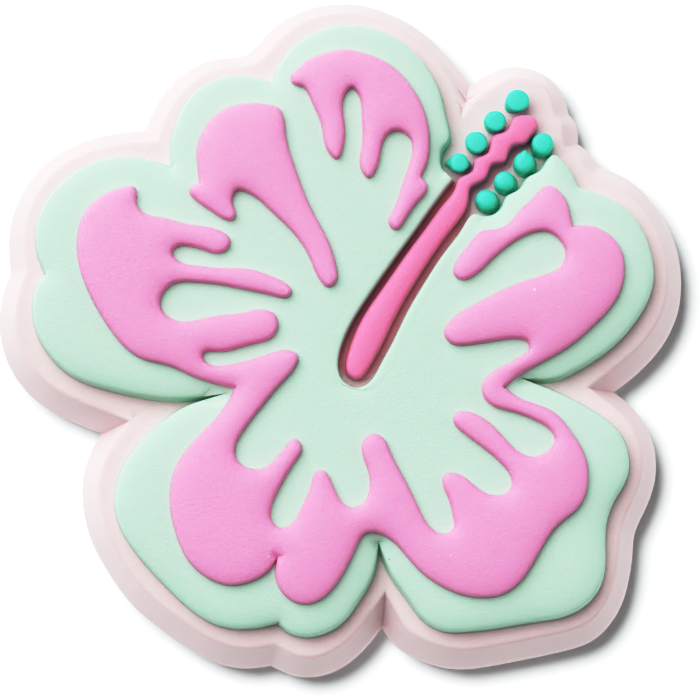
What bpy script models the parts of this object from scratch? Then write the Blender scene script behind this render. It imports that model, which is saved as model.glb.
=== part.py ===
"""A soft moulded shoe charm in the shape of a hibiscus flower.

The charm is built up in layers, as it is moulded: a pink plate, the mint petals on it, the orchid
patterns on the petals, a pistil lying in a channel, and eight beads beside the pistil's tip.
Behind the plate a stud with a flange pushes through the hole of a clog.

The frame has its origin at the middle of the stud's end face. +Z points out of the charm's face,
+Y to the top of the flower and +X to its right. Outlines are given in millimetres.
"""
import math

import bmesh
import bpy
import numpy as np

MM = 0.001

# Heights above the stud's end face, in millimetres
PLATE_BACK = 7.4
PLATE_TOP = 10.2
PETAL_TOP = 11.35
PATTERN_TOP = 12.1
PISTIL_TOP = 11.6
BEAD_TOP = 11.45

# Walls and edges, in millimetres
WALL_DRAFT = 0.92         # how far the plate's wall leans in from its back to its top
PLATE_ROUND = 0.3         # rounding of the plate's shoulder
BACK_CHAMFER = 0.15       # small break of the plate's back edge
LAYER_DRAFT = 0.08        # lean of the walls of the layers above the plate
LAYER_ROUND = 0.18        # rounding of their upper edges
GROOVE_DEPTH = 1.3        # the pistil's channel goes on down into the plate
ROOT_THICKNESS = 0.25     # the pistil's foot, which fills the bottom of that channel
ROOT_CLEARANCE = 0.3      # gap between that foot and the channel's walls
JOIN_OVERLAP = 0.1        # how far joined bodies run into each other
JOIN_INSET = 0.05         # keeps their walls apart, so that no two faces coincide

# The stud behind the plate, in millimetres
FLANGE_RADIUS = 6.3
FLANGE_THICKNESS = 1.8
FLANGE_ROUND = 0.6
NECK_RADIUS = 3.7
NECK_FILLET = 0.5
STUD_SIDES = 40

BEAD_SIDES = 16
BEAD_FOOT_FLARE = 0.05    # the bead's foot spreads a little on the plate

# Spacing of the points along the outlines, in millimetres
PLATE_STEP = 1.1
PETAL_STEP = 1.0
PATTERN_STEP = 0.8
PISTIL_STEP = 0.6

NOTCH = "notch"           # marks a sharp corner in an outline

PLATE_OUTLINE = [
    # left petal
    (-18.45, 4.05, NOTCH), (-18.55, 5.9), (-17.85, 8.5), (-16.25, 10.45), (-14.25, 11.55),
    (-12.35, 12.0),
    # upper left petal, which runs softly into the top petal
    (-10.95, 12.15, NOTCH), (-10.35, 13.5), (-9.4, 14.8), (-8.0, 15.9), (-6.6, 16.3), (-5.3, 16.5),
    (-4.6, 17.1), (-3.6, 18.15), (-2.5, 18.85), (-0.95, 19.35), (0.5, 19.45), (1.5, 19.35),
    (2.85, 18.9), (4.35, 18.1), (5.75, 16.9), (6.6, 15.95),
    # round the beads
    (7.35, 14.8, NOTCH), (8.0, 15.2), (8.9, 15.7), (9.95, 15.9), (11.1, 15.7), (12.15, 15.05),
    (12.7, 14.25),
    (13.0, 13.2, NOTCH), (13.4, 12.6), (13.5, 12.1),
    (13.5, 11.5, NOTCH), (14.15, 11.0),
    # right petal
    (14.7, 10.25, NOTCH), (15.3, 10.0), (16.3, 9.5), (17.35, 8.6), (18.3, 7.3), (19.0, 5.75),
    (19.3, 3.7), (19.1, 1.95), (18.35, 0.25), (17.5, -0.85), (16.55, -1.75),
    # lower right petal
    (15.45, -2.6, NOTCH), (16.2, -3.2), (17.05, -4.15), (17.6, -5.35), (17.8, -6.7), (17.6, -8.1),
    (17.0, -9.55), (16.55, -10.65), (16.45, -11.6), (16.25, -13.0), (15.9, -14.3), (15.25, -15.5),
    (14.15, -16.55), (12.65, -17.1), (10.1, -17.65), (7.9, -18.05), (6.75, -18.15), (5.6, -18.0),
    (4.5, -17.65), (2.95, -16.65),
    # lower left petal, with its two lobes
    (2.4, -15.8, NOTCH), (1.8, -16.6), (1.0, -17.45), (-0.45, -18.35), (-1.75, -18.6),
    (-2.85, -18.4),
    (-3.8, -17.95, NOTCH), (-4.95, -18.1), (-6.35, -17.95), (-8.05, -17.2), (-9.9, -15.95),
    (-11.45, -14.65), (-12.85, -12.8), (-13.8, -11.05), (-14.25, -9.4), (-14.35, -8.15),
    (-14.15, -6.8), (-13.65, -5.6),
    # underside of the left petal
    (-13.25, -5.0, NOTCH), (-14.8, -4.4), (-16.65, -3.4), (-17.95, -2.1), (-18.7, -0.7),
    (-19.0, 0.55), (-18.9, 2.55),
]

# The channel that the pistil lies in, from its upper left end down and round to its right end
CHANNEL = [
    (6.35, 8.95, NOTCH), (5.45, 8.2), (4.0, 6.25), (2.5, 4.15), (1.2, 2.25), (0.4, 0.85),
    (-0.05, -0.5), (-0.2, -1.35), (0.1, -2.3), (0.85, -2.65), (1.5, -2.4), (2.1, -1.5),
    (2.85, -0.1), (3.6, 1.45), (4.65, 3.25), (5.7, 4.85), (6.75, 6.3),
]

PETAL_OUTLINE = [
    # left petal
    (-16.4, 3.6, NOTCH), (-16.9, 5.0), (-16.9, 6.45), (-16.25, 7.95), (-15.15, 9.1), (-13.8, 9.9),
    (-12.25, 10.25), (-10.6, 10.05),
    # upper left petal
    (-9.45, 9.7, NOTCH), (-9.5, 10.7), (-9.3, 11.8), (-8.7, 13.2), (-7.6, 14.3), (-6.2, 14.8),
    (-4.95, 14.75),
    # top petal, with the hollow that clears the first bead
    (-3.8, 14.45, NOTCH), (-3.5, 15.35), (-2.6, 16.55), (-1.4, 17.35), (0.4, 17.7), (1.55, 17.6),
    (3.25, 16.9), (4.7, 15.55), (5.65, 13.75), (5.95, 12.45), (6.0, 10.9), (5.75, 10.6),
    (5.65, 10.15), (5.7, 9.7), (5.95, 9.35),
    *CHANNEL,
    # right petal, scalloped round the lower row of beads
    (7.35, 7.05), (8.2, 7.0), (8.9, 7.5), (9.2, 8.1), (9.9, 8.5), (10.35, 9.15), (11.0, 9.5),
    (11.4, 10.05), (11.85, 10.45), (12.25, 10.25), (12.85, 9.55),
    (13.3, 8.6, NOTCH), (14.3, 8.3), (15.7, 7.6), (16.7, 6.5), (17.3, 5.1), (17.5, 3.75),
    (17.2, 2.35), (16.55, 1.2), (15.65, 0.1), (14.35, -1.0), (13.2, -1.7), (11.8, -2.3),
    # lower right petal
    (10.65, -2.3, NOTCH), (11.55, -2.65), (12.9, -3.25), (14.45, -4.15), (15.5, -5.1),
    (15.95, -6.1), (16.05, -7.0), (15.8, -7.9), (15.1, -9.15), (14.75, -10.3), (14.7, -11.75),
    (14.5, -13.4), (13.65, -14.65), (12.4, -15.35), (10.75, -15.65), (8.3, -16.05), (6.85, -16.2),
    (5.9, -16.2), (4.8, -15.75), (3.65, -14.4), (2.6, -12.85),
    # lower left petal, with its two lobes
    (2.15, -11.7, NOTCH), (1.95, -12.8), (1.0, -14.6), (-0.05, -15.85), (-0.85, -16.3),
    (-1.9, -16.5), (-2.95, -16.2),
    (-3.45, -15.75, NOTCH), (-4.35, -15.95), (-5.65, -16.05), (-7.1, -15.7), (-8.9, -14.4),
    (-10.65, -12.6), (-11.95, -10.85), (-12.45, -9.45), (-12.45, -8.4), (-12.05, -7.1),
    (-11.0, -5.6), (-9.75, -4.45), (-8.5, -3.65),
    # underside of the left petal
    (-7.5, -3.3, NOTCH), (-9.15, -3.45), (-11.05, -3.25), (-13.0, -2.8), (-14.75, -2.15),
    (-16.15, -0.9), (-16.9, 0.5), (-17.1, 1.95), (-16.9, 2.9),
]

PATTERN_TOP_PETAL = [
    # crown
    (-2.75, 14.65), (-2.35, 15.15), (-1.8, 15.6), (-0.85, 16.0), (0.35, 16.2), (1.35, 16.0),
    (2.7, 15.4), (3.85, 14.25), (4.5, 13.15), (4.9, 11.75), (4.95, 10.6),
    # right finger with its barb
    (4.6, 9.35), (4.5, 9.05), (4.75, 8.75), (4.8, 8.35), (4.45, 7.85), (3.55, 6.6), (3.05, 6.1),
    (2.7, 6.45), (2.9, 7.1), (3.45, 8.6), (4.0, 10.35), (3.95, 11.1), (3.4, 11.6), (2.9, 11.6),
    # middle finger
    (2.5, 11.3), (2.2, 10.35), (1.9, 9.35), (1.6, 9.0), (1.2, 9.4), (1.2, 10.65), (1.2, 12.7),
    (1.0, 13.7), (0.6, 14.05), (0.35, 13.85),
    # left finger
    (0.2, 12.0), (0.1, 10.6), (-0.2, 10.05), (-0.6, 10.35), (-1.0, 11.75), (-1.65, 13.45),
    (-2.1, 14.1), (-2.65, 14.3),
]

PATTERN_UPPER_LEFT_PETAL = [
    (-7.95, 10.55), (-7.7, 11.4), (-7.15, 12.25), (-6.35, 12.85), (-5.0, 13.15), (-3.85, 13.05),
    (-3.4, 12.85), (-3.2, 12.5),
    # long finger
    (-3.05, 11.45), (-2.55, 9.6), (-1.6, 7.2), (-0.6, 5.25), (-0.2, 3.85), (-0.2, 3.3),
    (-0.65, 2.9), (-1.05, 3.2), (-1.65, 4.45), (-2.5, 5.8), (-3.85, 7.15), (-5.05, 8.1),
    # barb
    (-5.8, 8.2), (-5.95, 7.95), (-5.95, 7.4), (-5.8, 6.85), (-6.0, 6.6), (-6.4, 6.65),
    (-7.2, 7.15), (-8.1, 7.8), (-8.35, 8.25), (-8.25, 8.45),
    (-7.8, 8.65, NOTCH), (-7.9, 9.5),
]

PATTERN_RING = [
    # left petal: first finger
    (-11.45, 8.45), (-11.3, 8.2), (-11.3, 7.65), (-11.05, 7.1), (-10.05, 6.75), (-8.4, 6.35),
    (-6.6, 5.95), (-6.1, 5.45), (-6.25, 5.0), (-6.85, 4.75), (-7.55, 4.95), (-8.4, 5.15),
    (-9.05, 5.1), (-9.3, 4.75), (-9.1, 4.4),
    # second finger
    (-8.05, 4.05), (-6.4, 3.9), (-5.05, 3.85), (-3.9, 3.5), (-2.95, 3.0), (-2.7, 2.65),
    (-2.8, 2.4), (-3.65, 2.4), (-5.05, 2.7), (-6.9, 3.05), (-8.1, 3.15), (-9.2, 3.05),
    (-9.8, 2.5), (-9.95, 1.85), (-9.65, 1.3), (-8.85, 0.95),
    # third finger
    (-7.1, 1.2), (-5.25, 1.45), (-4.2, 1.6), (-3.6, 1.3), (-3.45, 0.8), (-3.65, 0.25),
    (-4.95, -0.3), (-5.5, -0.45), (-6.9, -0.7), (-7.55, -0.8), (-7.6, -1.05), (-7.3, -1.4),
    # arm down to the lower left petal
    (-6.4, -1.5), (-5.0, -1.2), (-3.6, -0.75), (-2.75, -0.65), (-2.35, -0.95), (-2.45, -1.45),
    (-3.3, -2.5), (-4.35, -3.75), (-5.4, -5.15), (-5.8, -6.05), (-5.7, -6.7), (-4.95, -7.2),
    # lower left petal: first finger
    (-4.15, -7.15), (-3.65, -6.75), (-2.95, -5.9), (-2.5, -5.55), (-2.15, -5.9), (-2.45, -6.7),
    (-3.35, -8.2), (-3.8, -9.25), (-3.8, -10.0), (-3.35, -10.45), (-2.75, -10.3),
    # second finger
    (-2.1, -9.3), (-1.6, -8.1), (-1.25, -7.35), (-0.95, -7.3), (-0.6, -7.7), (-0.05, -8.85),
    (0.35, -9.25), (0.9, -9.3), (1.4, -8.95),
    # finger between the two lower petals
    (1.65, -8.15), (1.45, -7.0), (1.2, -6.0), (1.4, -5.5), (1.9, -5.25), (2.25, -5.4),
    (2.75, -6.25), (3.6, -7.9), (4.4, -9.55), (5.05, -10.5), (5.8, -10.75), (6.2, -10.5),
    # lower right petal: first finger
    (6.2, -9.7), (5.9, -8.65), (5.65, -7.85), (5.85, -7.45), (6.15, -7.4), (6.9, -7.7),
    (7.7, -8.35), (8.5, -8.65), (9.3, -8.4), (9.45, -7.75), (9.1, -7.1),
    # second finger
    (7.95, -6.05), (6.7, -5.1), (6.25, -4.45), (6.35, -4.15), (6.85, -4.0), (7.55, -4.2),
    (8.3, -4.7), (9.15, -5.6), (9.85, -6.25), (10.55, -6.5), (11.45, -6.2), (11.85, -5.6),
    # narrow neck to the right petal
    (11.6, -5.0), (10.75, -4.45), (9.35, -3.95), (8.4, -3.65), (7.95, -3.2), (7.85, -2.55),
    (8.25, -1.95), (9.4, -1.3), (10.2, -0.8), (10.45, -0.5), (10.35, -0.1),
    # right petal: first finger
    (9.95, 0.05), (8.6, -0.05), (6.95, -0.3), (6.1, -0.2), (5.75, 0.45), (5.95, 0.85),
    (7.2, 1.8), (8.6, 2.55), (9.95, 3.15), (11.35, 3.6), (12.2, 4.05), (12.5, 4.9),
    (12.2, 5.55), (11.45, 6.05), (10.7, 6.0),
    # second finger and its shoulder
    (9.65, 5.5), (8.4, 4.5), (7.35, 3.55), (6.6, 3.35), (6.3, 3.65), (6.5, 4.45), (7.1, 5.25),
    (7.8, 6.0), (8.9, 6.2), (9.65, 6.8), (10.1, 7.35), (10.75, 7.95), (11.15, 8.4),
    (11.65, 8.6), (12.1, 8.35), (12.6, 7.6), (12.8, 6.7),
    # outer side of the right petal
    (12.9, 6.3, NOTCH), (13.85, 6.35), (14.8, 5.95), (15.55, 5.05), (15.75, 4.1), (15.4, 2.5),
    (14.65, 1.45), (13.85, 0.65), (13.0, -0.1), (11.95, -0.8), (10.65, -1.5), (9.6, -2.15),
    # outer side of the lower right petal
    (9.05, -2.65, NOTCH), (9.9, -3.25), (11.75, -4.0), (12.7, -5.05), (13.45, -6.35),
    (13.65, -7.85), (13.4, -8.85), (12.8, -9.6), (12.05, -10.2), (11.5, -10.85), (10.7, -12.2),
    (9.9, -13.35), (8.95, -14.05), (7.8, -14.25), (6.55, -14.05), (5.2, -13.4), (4.1, -12.5),
    (3.0, -11.25), (2.15, -10.75), (1.5, -10.7),
    # outer side of the lower left petal
    (0.85, -11.55), (0.4, -12.5), (-0.4, -13.75), (-1.35, -14.5), (-2.2, -14.6), (-3.1, -14.05),
    (-3.55, -13.1),
    (-3.5, -12.2, NOTCH), (-4.05, -12.9), (-4.95, -13.4), (-6.0, -13.6), (-7.05, -13.3),
    (-8.2, -12.4), (-8.95, -10.95), (-9.35, -9.0), (-9.15, -7.4), (-8.4, -6.1), (-7.25, -4.85),
    (-6.35, -3.75),
    # outer side of the left petal
    (-5.8, -2.7, NOTCH), (-7.15, -2.4), (-8.05, -2.1), (-9.45, -1.5), (-10.95, -1.1),
    (-11.9, -0.45), (-12.5, 0.25), (-13.3, 1.45), (-14.15, 3.2), (-14.55, 4.95), (-14.5, 5.9),
    (-14.1, 7.05), (-13.3, 7.85), (-12.4, 8.3), (-11.8, 8.45),
]

# The pistil's stem lies in the channel, and its scalloped tip stands between the beads
PISTIL_STEM = [
    (6.65, 7.0), (5.55, 5.6), (4.55, 4.1), (3.7, 2.5), (3.05, 1.0), (2.5, -0.3), (1.9, -1.25),
    (1.4, -1.9), (0.9, -2.2), (0.5, -1.95), (0.3, -1.4), (0.4, -0.7), (1.1, 1.0), (2.2, 2.8),
    (3.6, 4.75), (5.0, 6.9), (6.1, 8.4),
]
PISTIL_TIP = [
    (6.65, 9.0), (7.35, 9.45), (7.6, 10.1), (8.2, 10.4), (8.45, 11.15), (8.75, 11.5),
    (9.3, 11.7), (9.65, 12.15), (9.9, 12.6), (10.6, 12.65), (10.95, 12.45), (11.0, 12.05),
    (10.7, 11.55), (10.25, 11.0), (9.7, 10.9), (9.3, 10.4), (9.15, 10.0), (8.45, 9.85),
    (8.1, 9.2), (7.8, 8.9), (7.25, 8.65), (7.05, 7.85),
]

# Middle and radius of each bead
BEADS = [
    (9.85, 13.3, 0.57), (8.6, 12.15, 0.55), (7.55, 10.95, 0.57), (6.6, 9.8, 0.55),
    (11.25, 10.9, 0.58), (10.2, 9.85, 0.57), (9.1, 8.8, 0.55), (8.1, 7.75, 0.57),
]

# sRGB colours from 0 to 255, and roughness
FINISHES = {
    "pale_pink_rubber": ((238, 224, 227), 0.55),
    "mint_rubber": ((205, 235, 221), 0.55),
    "orchid_rubber": ((246, 168, 218), 0.5),
    "hot_pink_rubber": ((255, 128, 180), 0.45),
    "turquoise_rubber": ((40, 220, 192), 0.5),
}


def linear(channel):
    """One sRGB channel from 0 to 255 as linear light."""
    value = channel / 255
    if value <= 0.04045:
        return value / 12.92
    return ((value + 0.055) / 1.055) ** 2.4


def make_material(name):
    colour, roughness = FINISHES[name]
    material = bpy.data.materials.new(name)
    material.use_nodes = True
    shader = material.node_tree.nodes["Principled BSDF"]
    shader.inputs["Base Color"].default_value = (*[linear(c) for c in colour], 1)
    shader.inputs["Roughness"].default_value = roughness
    shader.inputs["Metallic"].default_value = 0
    return material


def spline_run(knots, closed, step):
    """Points about step apart on the smooth cubic curve through the knots, without its last one."""
    knots = np.array(knots + knots[:1] if closed else knots)
    spans = np.diff(knots, axis=0)
    length = np.linalg.norm(spans, axis=1)
    slope = spans / length[:, None]
    last = len(length)
    system = np.zeros((last + 1, last + 1))
    bend = np.zeros((last + 1, 2))
    for i in range(1, last):
        system[i, i - 1:i + 2] = length[i - 1], 2 * (length[i - 1] + length[i]), length[i]
        bend[i] = 6 * (slope[i] - slope[i - 1])
    system[0, 0] = 1
    system[last, last] = 1
    if closed:
        system[0, last] = -1
        system[last, :2] = 2 * length[0], length[0]
        system[last, last - 1:] = length[-1], 2 * length[-1]
        bend[last] = 6 * (slope[0] - slope[-1])
    curvature = np.linalg.solve(system, bend)
    points = []
    for i in range(last):
        count = max(1, round(length[i] / step))
        for s in np.arange(count) / count:
            u = 1 - s
            sag = (u ** 3 - u) * curvature[i] + (s ** 3 - s) * curvature[i + 1]
            points.append(u * knots[i] + s * knots[i + 1] + sag * length[i] ** 2 / 6)
    return points


def outline(knots, step):
    """Closed outline through the knots: smooth, with a sharp corner at each knot marked NOTCH."""
    corners = [i for i, knot in enumerate(knots) if knot[-1] == NOTCH]
    places = [knot[:2] for knot in knots]
    if not corners:
        return np.array(spline_run(places, True, step))
    places = places[corners[0]:] + places[:corners[0]]
    corners = [i - corners[0] for i in corners] + [len(places)]
    places.append(places[0])
    points = []
    for start, end in zip(corners, corners[1:]):
        points += spline_run(places[start:end + 1], False, step)
    return np.array(points)


def inset(points, distance):
    """The outline moved inwards by distance, mitred at its corners."""
    if distance == 0:
        return points
    after = np.roll(points, -1, axis=0)
    area = np.sum(points[:, 0] * after[:, 1] - after[:, 0] * points[:, 1]) / 2
    along = after - points
    along /= np.linalg.norm(along, axis=1)[:, None]
    inward = np.column_stack([-along[:, 1], along[:, 0]]) * math.copysign(1, area)
    before = np.roll(inward, 1, axis=0)
    spread = 1 + np.sum(inward * before, axis=1)
    return points + distance * (inward + before) / spread[:, None]


def stack_mesh(name, rings):
    """Closed body through rings of points, each a pair of outline and height in millimetres."""
    bm = bmesh.new()
    loops = []
    for points, height in rings:
        loops.append([bm.verts.new((x * MM, y * MM, height * MM)) for x, y in points])
    for lower, upper in zip(loops, loops[1:]):
        for i in range(len(lower)):
            bm.faces.new((lower[i - 1], lower[i], upper[i], upper[i - 1]))
    bm.faces.new(loops[0])
    bm.faces.new(loops[-1])
    bmesh.ops.recalc_face_normals(bm, faces=bm.faces)
    mesh = bpy.data.meshes.new(name)
    bm.to_mesh(mesh)
    bm.free()
    mesh.shade_smooth()
    mesh.set_sharp_from_angle(angle=math.radians(35))
    return mesh


def add_object(name, mesh, finish=None):
    thing = bpy.data.objects.new(name, mesh)
    bpy.context.collection.objects.link(thing)
    if finish is not None:
        mesh.materials.append(materials[finish])
    return thing


def add_helper(name, mesh):
    """A body that only cuts or extends another one."""
    helper = add_object(name, mesh)
    helper.hide_render = True
    helper.display_type = "WIRE"
    return helper


def combine(thing, operation, helper):
    modifier = thing.modifiers.new(helper.name, "BOOLEAN")
    modifier.operation = operation
    modifier.solver = "EXACT"
    modifier.object = helper


def raised_layer(name, points, bottom, top, finish):
    """A layer with a slightly leaning wall and a rounded upper edge."""
    rings = [
        (points, bottom),
        (inset(points, LAYER_DRAFT), top - LAYER_ROUND),
        (inset(points, LAYER_DRAFT + 0.3 * LAYER_ROUND), top - 0.3 * LAYER_ROUND),
        (inset(points, LAYER_DRAFT + LAYER_ROUND), top),
    ]
    return add_object(name, stack_mesh(name, rings), finish)


def prism(name, points, bottom, top):
    return stack_mesh(name, [(points, bottom), (points, top)])


def turned_mesh(name, profile, sides, middle=(0, 0)):
    """A body of revolution through pairs of radius and height in millimetres."""
    turn = 2 * math.pi * np.arange(sides) / sides
    circle = np.column_stack([np.cos(turn), np.sin(turn)])
    return stack_mesh(name, [(circle * radius + middle, height) for radius, height in profile])


def build_base_plate():
    foot = outline(PLATE_OUTLINE, PLATE_STEP)
    rings = [
        (inset(foot, BACK_CHAMFER), PLATE_BACK),
        (foot, PLATE_BACK + BACK_CHAMFER),
        (inset(foot, WALL_DRAFT), PLATE_TOP - PLATE_ROUND),
        (inset(foot, WALL_DRAFT + 0.3 * PLATE_ROUND), PLATE_TOP - 0.3 * PLATE_ROUND),
        (inset(foot, WALL_DRAFT + PLATE_ROUND), PLATE_TOP),
    ]
    plate = add_object("base_plate", stack_mesh("base_plate", rings), "pale_pink_rubber")
    channel = outline([*CHANNEL, (7.35, 7.05, NOTCH)], PETAL_STEP)
    groove = prism("groove_cutter", channel, PLATE_TOP - GROOVE_DEPTH, PLATE_TOP + 1)
    combine(plate, "DIFFERENCE", add_helper("groove_cutter", groove))


def build_petals():
    petals = outline(PETAL_OUTLINE, PETAL_STEP)
    raised_layer("petal_layer", petals, PLATE_TOP, PETAL_TOP, "mint_rubber")
    patterns = {
        "petal_pattern_top": PATTERN_TOP_PETAL,
        "petal_pattern_upper_left": PATTERN_UPPER_LEFT_PETAL,
        "petal_pattern_ring": PATTERN_RING,
    }
    for name, knots in patterns.items():
        points = outline(knots, PATTERN_STEP)
        raised_layer(name, points, PETAL_TOP, PATTERN_TOP, "orchid_rubber")


def build_pistil():
    groove_floor = PLATE_TOP - GROOVE_DEPTH
    root_top = groove_floor + ROOT_THICKNESS
    ridge = outline(PISTIL_STEM + PISTIL_TIP, PISTIL_STEP)
    pistil = raised_layer("pistil", ridge, PLATE_TOP, PISTIL_TOP, "hot_pink_rubber")

    stem = [(*PISTIL_STEM[0], NOTCH), *PISTIL_STEM[1:-1], (*PISTIL_STEM[-1], NOTCH)]
    web = inset(outline(stem, PISTIL_STEP), JOIN_INSET)
    web_mesh = prism("stem_web", web, root_top - JOIN_OVERLAP, PLATE_TOP + JOIN_OVERLAP)
    combine(pistil, "UNION", add_helper("stem_web", web_mesh))

    channel = outline([*CHANNEL, (7.35, 7.05, NOTCH)], PETAL_STEP)
    root = inset(channel, ROOT_CLEARANCE)
    root_mesh = prism("stem_root", root, groove_floor, root_top)
    combine(pistil, "UNION", add_helper("stem_root", root_mesh))


def build_beads():
    for number, (x, y, radius) in enumerate(BEADS, start=1):
        height = BEAD_TOP - PLATE_TOP
        profile = [
            (radius + BEAD_FOOT_FLARE, PLATE_TOP),
            (radius, PLATE_TOP + 0.3 * height),
            (radius, PLATE_TOP + 0.72 * height),
            (0.84 * radius, PLATE_TOP + 0.92 * height),
            (0.45 * radius, BEAD_TOP),
        ]
        name = f"anther_bead_{number}"
        add_object(name, turned_mesh(name, profile, BEAD_SIDES, (x, y)), "turquoise_rubber")


def build_stud():
    shelf = FLANGE_THICKNESS
    profile = [
        (FLANGE_RADIUS - FLANGE_ROUND, 0),
        (FLANGE_RADIUS - 0.3 * FLANGE_ROUND, 0.3 * FLANGE_ROUND),
        (FLANGE_RADIUS, FLANGE_ROUND),
        (FLANGE_RADIUS, shelf - 0.6),
        (FLANGE_RADIUS - 0.25, shelf - 0.2),
        (FLANGE_RADIUS - 0.8, shelf),
        (NECK_RADIUS + NECK_FILLET, shelf),
        (NECK_RADIUS + 0.3 * NECK_FILLET, shelf + 0.3 * NECK_FILLET),
        (NECK_RADIUS, shelf + NECK_FILLET),
        (NECK_RADIUS, PLATE_BACK - NECK_FILLET),
        (NECK_RADIUS + 0.3 * NECK_FILLET, PLATE_BACK - 0.3 * NECK_FILLET),
        (NECK_RADIUS + NECK_FILLET, PLATE_BACK),
    ]
    add_object("back_stud", turned_mesh("back_stud", profile, STUD_SIDES), "pale_pink_rubber")


for old in list(bpy.data.objects):
    bpy.data.objects.remove(old)
materials = {name: make_material(name) for name in FINISHES}
build_base_plate()
build_petals()
build_pistil()
build_beads()
build_stud()
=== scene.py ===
# %% [markdown]
# # A soft moulded hibiscus charm
#
# The real thing is a small charm of soft PVC that pushes into the hole of a clog. It is moulded in
# layers: a pale pink plate, mint petals, orchid patterns, a hot pink pistil and turquoise beads.
# Every layer is thin, matte and slightly swollen, because the liquid plastic bulges a little in
# its mould before it is baked. This lesson makes each layer as a real swollen surface and not as a
# flat cut-out, because the soft shading across a petal is what makes the charm look moulded.

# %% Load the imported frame
import math

import bpy
import numpy as np
from mathutils import Matrix, Vector
from mathutils.bvhtree import BVHTree
from mathutils.geometry import delaunay_2d_cdt


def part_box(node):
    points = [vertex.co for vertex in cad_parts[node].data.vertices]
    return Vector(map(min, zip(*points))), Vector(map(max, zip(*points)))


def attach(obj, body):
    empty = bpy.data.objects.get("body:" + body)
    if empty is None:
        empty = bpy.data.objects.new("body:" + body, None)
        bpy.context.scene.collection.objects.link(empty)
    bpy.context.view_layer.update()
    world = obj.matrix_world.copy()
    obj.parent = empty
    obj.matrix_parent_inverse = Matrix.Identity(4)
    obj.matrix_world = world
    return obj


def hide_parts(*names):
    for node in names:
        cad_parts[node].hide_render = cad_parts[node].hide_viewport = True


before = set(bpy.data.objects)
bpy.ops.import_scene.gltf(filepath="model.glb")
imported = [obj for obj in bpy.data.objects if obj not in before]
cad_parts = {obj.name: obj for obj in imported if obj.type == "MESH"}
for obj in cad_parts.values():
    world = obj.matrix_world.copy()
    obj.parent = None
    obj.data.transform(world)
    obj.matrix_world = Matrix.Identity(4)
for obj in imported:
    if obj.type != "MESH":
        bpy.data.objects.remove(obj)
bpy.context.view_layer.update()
print("the frame holds", len(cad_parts), "pieces")

# %% [markdown]
# The frame is in metres, but a charm of 38 mm is easier to think about in millimetres. So all
# shapes below are worked out in millimetres and shrunk by `MM` when they become meshes. The
# heights of the layers come from the frame, so the looks always sit exactly where the solids are.

# %% Read the heights of the layers
MM = 0.001


def node_heights(node):
    """Lowest and highest z of a solid, in millimetres."""
    low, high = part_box(node)
    return low.z / MM, high.z / MM


PLATE_BACK, PLATE_TOP = node_heights("base_plate")
PETAL_TOP = node_heights("petal_layer")[1]
PATTERN_TOP = node_heights("petal_pattern_ring")[1]
GROOVE_FLOOR, PISTIL_TOP = node_heights("pistil")
BEAD_TOP = node_heights("anther_bead_1")[1]
print("plate from", round(PLATE_BACK, 2), "to", round(PLATE_TOP, 2), "mm")

# %% [markdown]
# An outline is a list of a few places that a smooth curve passes through. Where two petals meet
# there is a sharp corner, so that place is marked `NOTCH` and the curve starts afresh there. The
# plate's outline is the foot of its leaning wall.

# %% Outline of the plate
NOTCH = "notch"

PLATE_OUTLINE = [
    # left petal
    (-18.45, 4.05, NOTCH), (-18.55, 5.9), (-17.85, 8.5), (-16.25, 10.45), (-14.25, 11.55),
    (-12.35, 12.0),
    # upper left petal, which runs softly into the top petal
    (-10.95, 12.15, NOTCH), (-10.35, 13.5), (-9.4, 14.8), (-8.0, 15.9), (-6.6, 16.3), (-5.3, 16.5),
    (-4.6, 17.1), (-3.6, 18.15), (-2.5, 18.85), (-0.95, 19.35), (0.5, 19.45), (1.5, 19.35),
    (2.85, 18.9), (4.35, 18.1), (5.75, 16.9), (6.6, 15.95),
    # round the beads
    (7.35, 14.8, NOTCH), (8.0, 15.2), (8.9, 15.7), (9.95, 15.9), (11.1, 15.7), (12.15, 15.05),
    (12.7, 14.25),
    (13.0, 13.2, NOTCH), (13.4, 12.6), (13.5, 12.1),
    (13.5, 11.5, NOTCH), (14.15, 11.0),
    # right petal
    (14.7, 10.25, NOTCH), (15.3, 10.0), (16.3, 9.5), (17.35, 8.6), (18.3, 7.3), (19.0, 5.75),
    (19.3, 3.7), (19.1, 1.95), (18.35, 0.25), (17.5, -0.85), (16.55, -1.75),
    # lower right petal
    (15.45, -2.6, NOTCH), (16.2, -3.2), (17.05, -4.15), (17.6, -5.35), (17.8, -6.7), (17.6, -8.1),
    (17.0, -9.55), (16.55, -10.65), (16.45, -11.6), (16.25, -13.0), (15.9, -14.3), (15.25, -15.5),
    (14.15, -16.55), (12.65, -17.1), (10.1, -17.65), (7.9, -18.05), (6.75, -18.15), (5.6, -18.0),
    (4.5, -17.65), (2.95, -16.65),
    # lower left petal, with its two lobes
    (2.4, -15.8, NOTCH), (1.8, -16.6), (1.0, -17.45), (-0.45, -18.35), (-1.75, -18.6),
    (-2.85, -18.4),
    (-3.8, -17.95, NOTCH), (-4.95, -18.1), (-6.35, -17.95), (-8.05, -17.2), (-9.9, -15.95),
    (-11.45, -14.65), (-12.85, -12.8), (-13.8, -11.05), (-14.25, -9.4), (-14.35, -8.15),
    (-14.15, -6.8), (-13.65, -5.6),
    # underside of the left petal
    (-13.25, -5.0, NOTCH), (-14.8, -4.4), (-16.65, -3.4), (-17.95, -2.1), (-18.7, -0.7),
    (-19.0, 0.55), (-18.9, 2.55),
]
print("the plate's outline passes through", len(PLATE_OUTLINE), "places")

# %% [markdown]
# The petals are one mint layer. Its outline also runs down one side of the pistil's channel and
# up the other, and it is scalloped where it clears the beads. The channel goes on down into the
# plate as a hole of nearly the same outline.

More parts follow.
